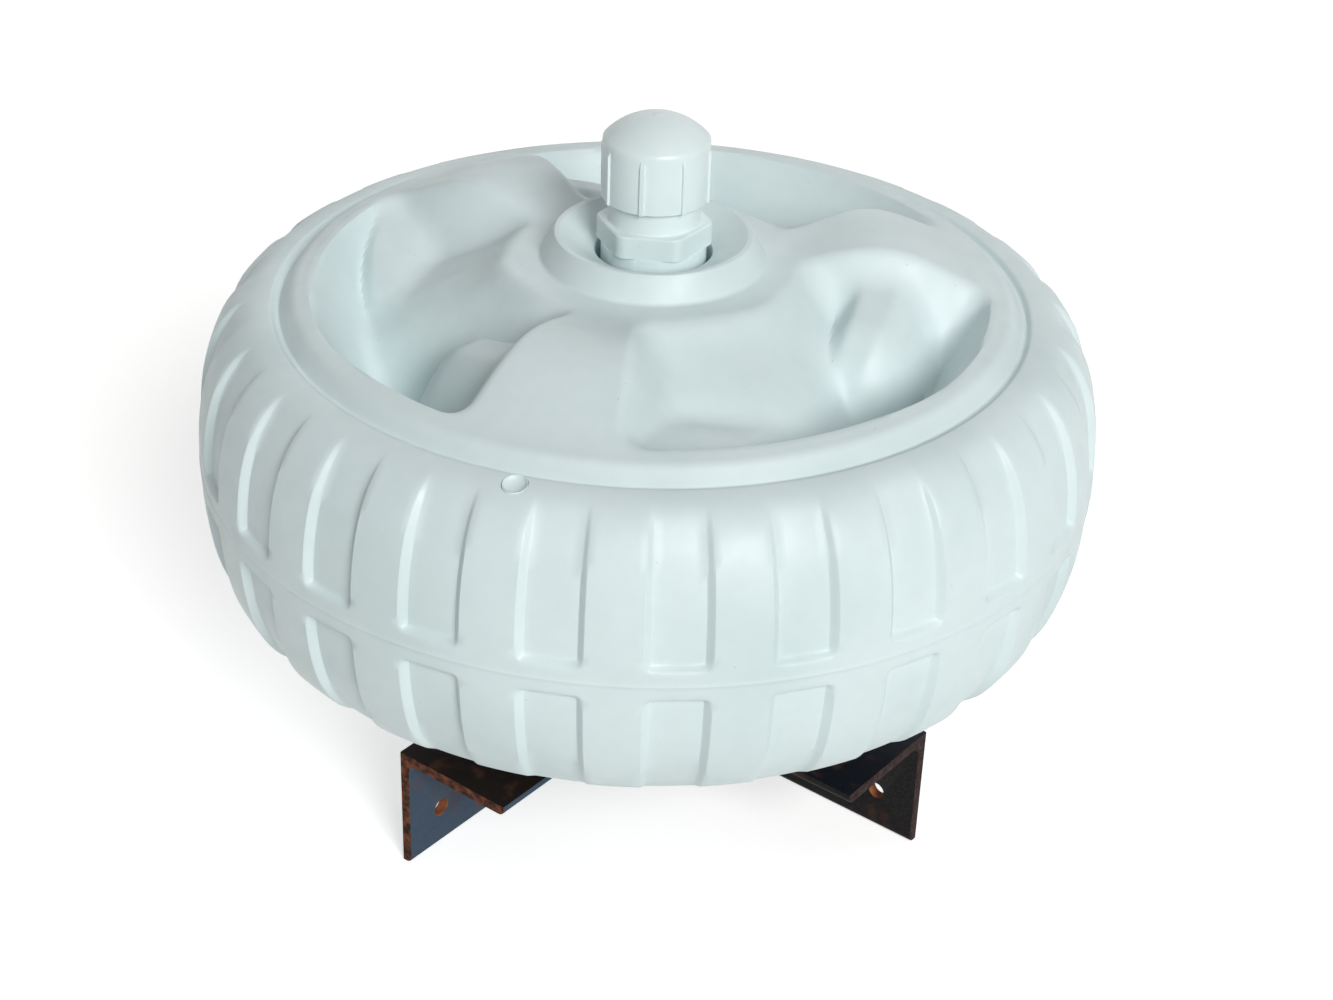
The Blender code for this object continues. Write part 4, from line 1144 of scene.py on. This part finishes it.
# The washer on the bracket clears the fillet weld, and the slip washers clear the socket.
SEAT_WASHER_BORE = 23.6 * MM
SLIP_WASHER_CLEARANCE = 1.0 * MM


class DOCKWHEEL_OT_washers(bpy.types.Operator):
    """Make the steel washer and the two slip washers with broken edges"""

    bl_idname = "dock_wheel.washers"
    bl_label = "Washers"

    def execute(self, context):
        sizes, tints = context.scene.dock_bracket_sizes, context.scene.dock_finishes
        zinc = material_named("zinc_plate", zinc_plate, tints)
        slip = slip_material(context)
        clear = context.scene.dock_fitting_sizes.socket + SLIP_WASHER_CLEARANCE
        kinds = (
            ("base_washer", "seat_washer", "zinc_plated_steel", zinc, SEAT_WASHER_BORE),
            ("lower_thrust_washer", "lower_slip_washer", "slip_plastic", slip, clear),
            ("upper_thrust_washer", "upper_slip_washer", "slip_plastic", slip, clear),
        )
        for node, name, slot, material, inner in kinds:
            low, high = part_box(node)
            corners = [(inner, low[2]), (high[0], low[2]), (high[0], high[2]), (inner, high[2])]
            profile = eased_loop(corners, sizes.washer_edge)
            mesh = outward(grid_mesh(name, turned_grid(profile, even_angles(120)), ring=True))
            piece = link_piece(name, mesh, 40.0)
            declare(piece, "bracket", slot, node, material)
        return {"FINISHED"}


class DOCKWHEEL_OT_inner_finishes(bpy.types.Operator):
    """Give the pieces inside the bore, which keep their CAD shapes, their finishes"""

    bl_idname = "dock_wheel.inner_finishes"
    bl_label = "Inner finishes"

    def execute(self, context):
        tints = context.scene.dock_finishes
        zinc = material_named("zinc_plate", zinc_plate, tints)
        scale, _, _ = bracket_materials(context, "right")
        white = fitting_plastic(context)
        finishes = {
            "spindle": scale,
            "end_washer": zinc,
            "end_bolt": zinc,
            "foot_collar": white,
            "sleeve_pipe": white,
        }
        for name, material in finishes.items():
            coat(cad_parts[name], material)
        return {"FINISHED"}


# Stage

CAMERA_TURN = 37.2 * DEG
CAMERA_TILT = 31.26 * DEG
CAMERA_ROLL = 2.1 * DEG
CAMERA_PLACE = Vector((0.0120, -1.1991, 0.6818))
CAMERA_LENS = 65.77
CAMERA_SENSOR = 36.0
# The lights' turns and rises give where they come from. World light and lift are strengths.
FRONT_LIGHT = dict(turn=62.0 * DEG, rise=31.0 * DEG, strength=2.2, softness=25.0 * DEG)
BACK_LIGHT = dict(turn=215.0 * DEG, rise=35.0 * DEG, strength=0.35, softness=60.0 * DEG)
WORLD_LIGHT = 0.20
FLOOR_LIFT = 0.56
FLOOR_REACH = 12.0
FLOOR_GAP = 0.2 * MM


def place_camera():
    """The photograph's camera: its place is measured from the wheel's centre, before its turn."""
    data = bpy.data.cameras.new("camera")
    data.sensor_width = CAMERA_SENSOR
    data.sensor_fit = "HORIZONTAL"
    data.lens = CAMERA_LENS
    data.clip_end = 50.0
    camera = add_object("camera", data)
    place = Matrix.Rotation(CAMERA_TURN, 4, "Z") @ Matrix.Translation(CAMERA_PLACE)
    look = Matrix.Rotation(90.0 * DEG - CAMERA_TILT, 4, "X") @ Matrix.Rotation(CAMERA_ROLL, 4, "Z")
    camera.matrix_world = Matrix.Translation((0.0, 0.0, MIDDLE)) @ place @ look
    bpy.context.scene.camera = camera


def add_sun(name, turn, rise, strength, softness):
    """A soft sun from a direction given by its turn from -Y towards +X and its rise."""
    data = bpy.data.lights.new(name, "SUN")
    data.energy = strength
    data.angle = softness
    add_object(name, data).rotation_euler = (90.0 * DEG - rise, 0.0, turn)


def seen_not_lit(tree):
    """1 for camera, glossy and transmission rays, otherwise 0."""
    path = add_node(tree, "ShaderNodeLightPath")
    total = path.outputs["Is Camera Ray"]
    for name in ("Is Glossy Ray", "Is Transmission Ray"):
        more = {0: total, 1: path.outputs[name]}
        total = add_node(tree, "ShaderNodeMath", links=more, operation="MAXIMUM").outputs["Value"]
    return total


def light_world():
    """A plain grey-white surround that lights evenly, and that the camera sees as white."""
    world = bpy.data.worlds.new("surround")
    bpy.context.scene.world = world
    world.use_nodes = True
    tree = world.node_tree
    background = tree.nodes["Background"]
    background.inputs["Color"].default_value = WHITE
    values = {"To Min": WORLD_LIGHT, "To Max": 1.0}
    strength = add_node(tree, "ShaderNodeMapRange", values, {"Value": seen_not_lit(tree)})
    tree.links.new(strength.outputs["Result"], background.inputs["Strength"])


def make_floor(tint):
    """A pale floor that keeps the object's shadow. A share of plain white, which only the camera
    and reflections see, takes it up to the white of the surround."""
    values = {"Roughness": 0.9, "Specular IOR Level": 0.1, "Emission Color": WHITE}
    look = Look("studio_floor", tint, values)
    seen = {"Value": seen_not_lit(look.tree)}
    lift = add_node(look.tree, "ShaderNodeMapRange", {"To Max": FLOOR_LIFT}, seen)
    look.tree.links.new(lift.outputs["Result"], look.shader.inputs["Emission Strength"])
    low = CAD_BOUNDS[0][2] - FLOOR_GAP
    corners = ((-1, -1), (1, -1), (1, 1), (-1, 1))
    mesh = bpy.data.meshes.new("floor")
    mesh.from_pydata([(x * FLOOR_REACH, y * FLOOR_REACH, low) for x, y in corners], [], [(0, 1, 2, 3)])
    floor = add_object("floor", mesh)
    coat(floor, look.material)


class DOCKWHEEL_OT_stage(bpy.types.Operator):
    """Make the floor, the light and the camera"""

    bl_idname = "dock_wheel.stage"
    bl_label = "Stage"

    def execute(self, context):
        context.scene.view_settings.view_transform = "Standard"
        make_floor(tuple(context.scene.dock_finishes.floor))
        light_world()
        add_sun("front_light", **FRONT_LIGHT)
        add_sun("back_light", **BACK_LIGHT)
        place_camera()
        return {"FINISHED"}


OPERATORS = (
    DOCKWHEEL_OT_wheel,
    DOCKWHEEL_OT_vent,
    DOCKWHEEL_OT_adapter,
    DOCKWHEEL_OT_cap,
    DOCKWHEEL_OT_arms,
    DOCKWHEEL_OT_welds,
    DOCKWHEEL_OT_washers,
    DOCKWHEEL_OT_inner_finishes,
    DOCKWHEEL_OT_stage,
)


class DOCKWHEEL_PT_panel(bpy.types.Panel):
    """Panel that lists the pieces"""

    bl_idname = "DOCKWHEEL_PT_panel"
    bl_label = "Dock wheel"
    bl_space_type = "VIEW_3D"
    bl_region_type = "UI"
    bl_category = "Dock wheel"

    def draw(self, context):
        for operator in OPERATORS:
            self.layout.operator(operator.bl_idname)


GROUPS = {
    "dock_wheel_sizes": DockWheelSizes,
    "dock_fitting_sizes": DockFittingSizes,
    "dock_bracket_sizes": DockBracketSizes,
    "dock_finishes": DockFinishes,
}


def register():
    """Register the property groups, the operators and the panel."""
    for name, group in GROUPS.items():
        bpy.utils.register_class(group)
        setattr(bpy.types.Scene, name, PointerProperty(type=group))
    for kind in (*OPERATORS, DOCKWHEEL_PT_panel):
        bpy.utils.register_class(kind)


def unregister():
    """Undo register."""
    for kind in reversed((*OPERATORS, DOCKWHEEL_PT_panel)):
        bpy.utils.unregister_class(kind)
    for name, group in GROUPS.items():
        delattr(bpy.types.Scene, name)
        bpy.utils.unregister_class(group)


def main():
    """Make every piece and the stage."""
    register()
    bpy.ops.dock_wheel.wheel()
    bpy.ops.dock_wheel.vent()
    bpy.ops.dock_wheel.adapter()
    bpy.ops.dock_wheel.cap()
    bpy.ops.dock_wheel.arms()
    bpy.ops.dock_wheel.welds()
    bpy.ops.dock_wheel.washers()
    bpy.ops.dock_wheel.inner_finishes()
    bpy.ops.dock_wheel.stage()


if __name__ == "__main__":
    main()
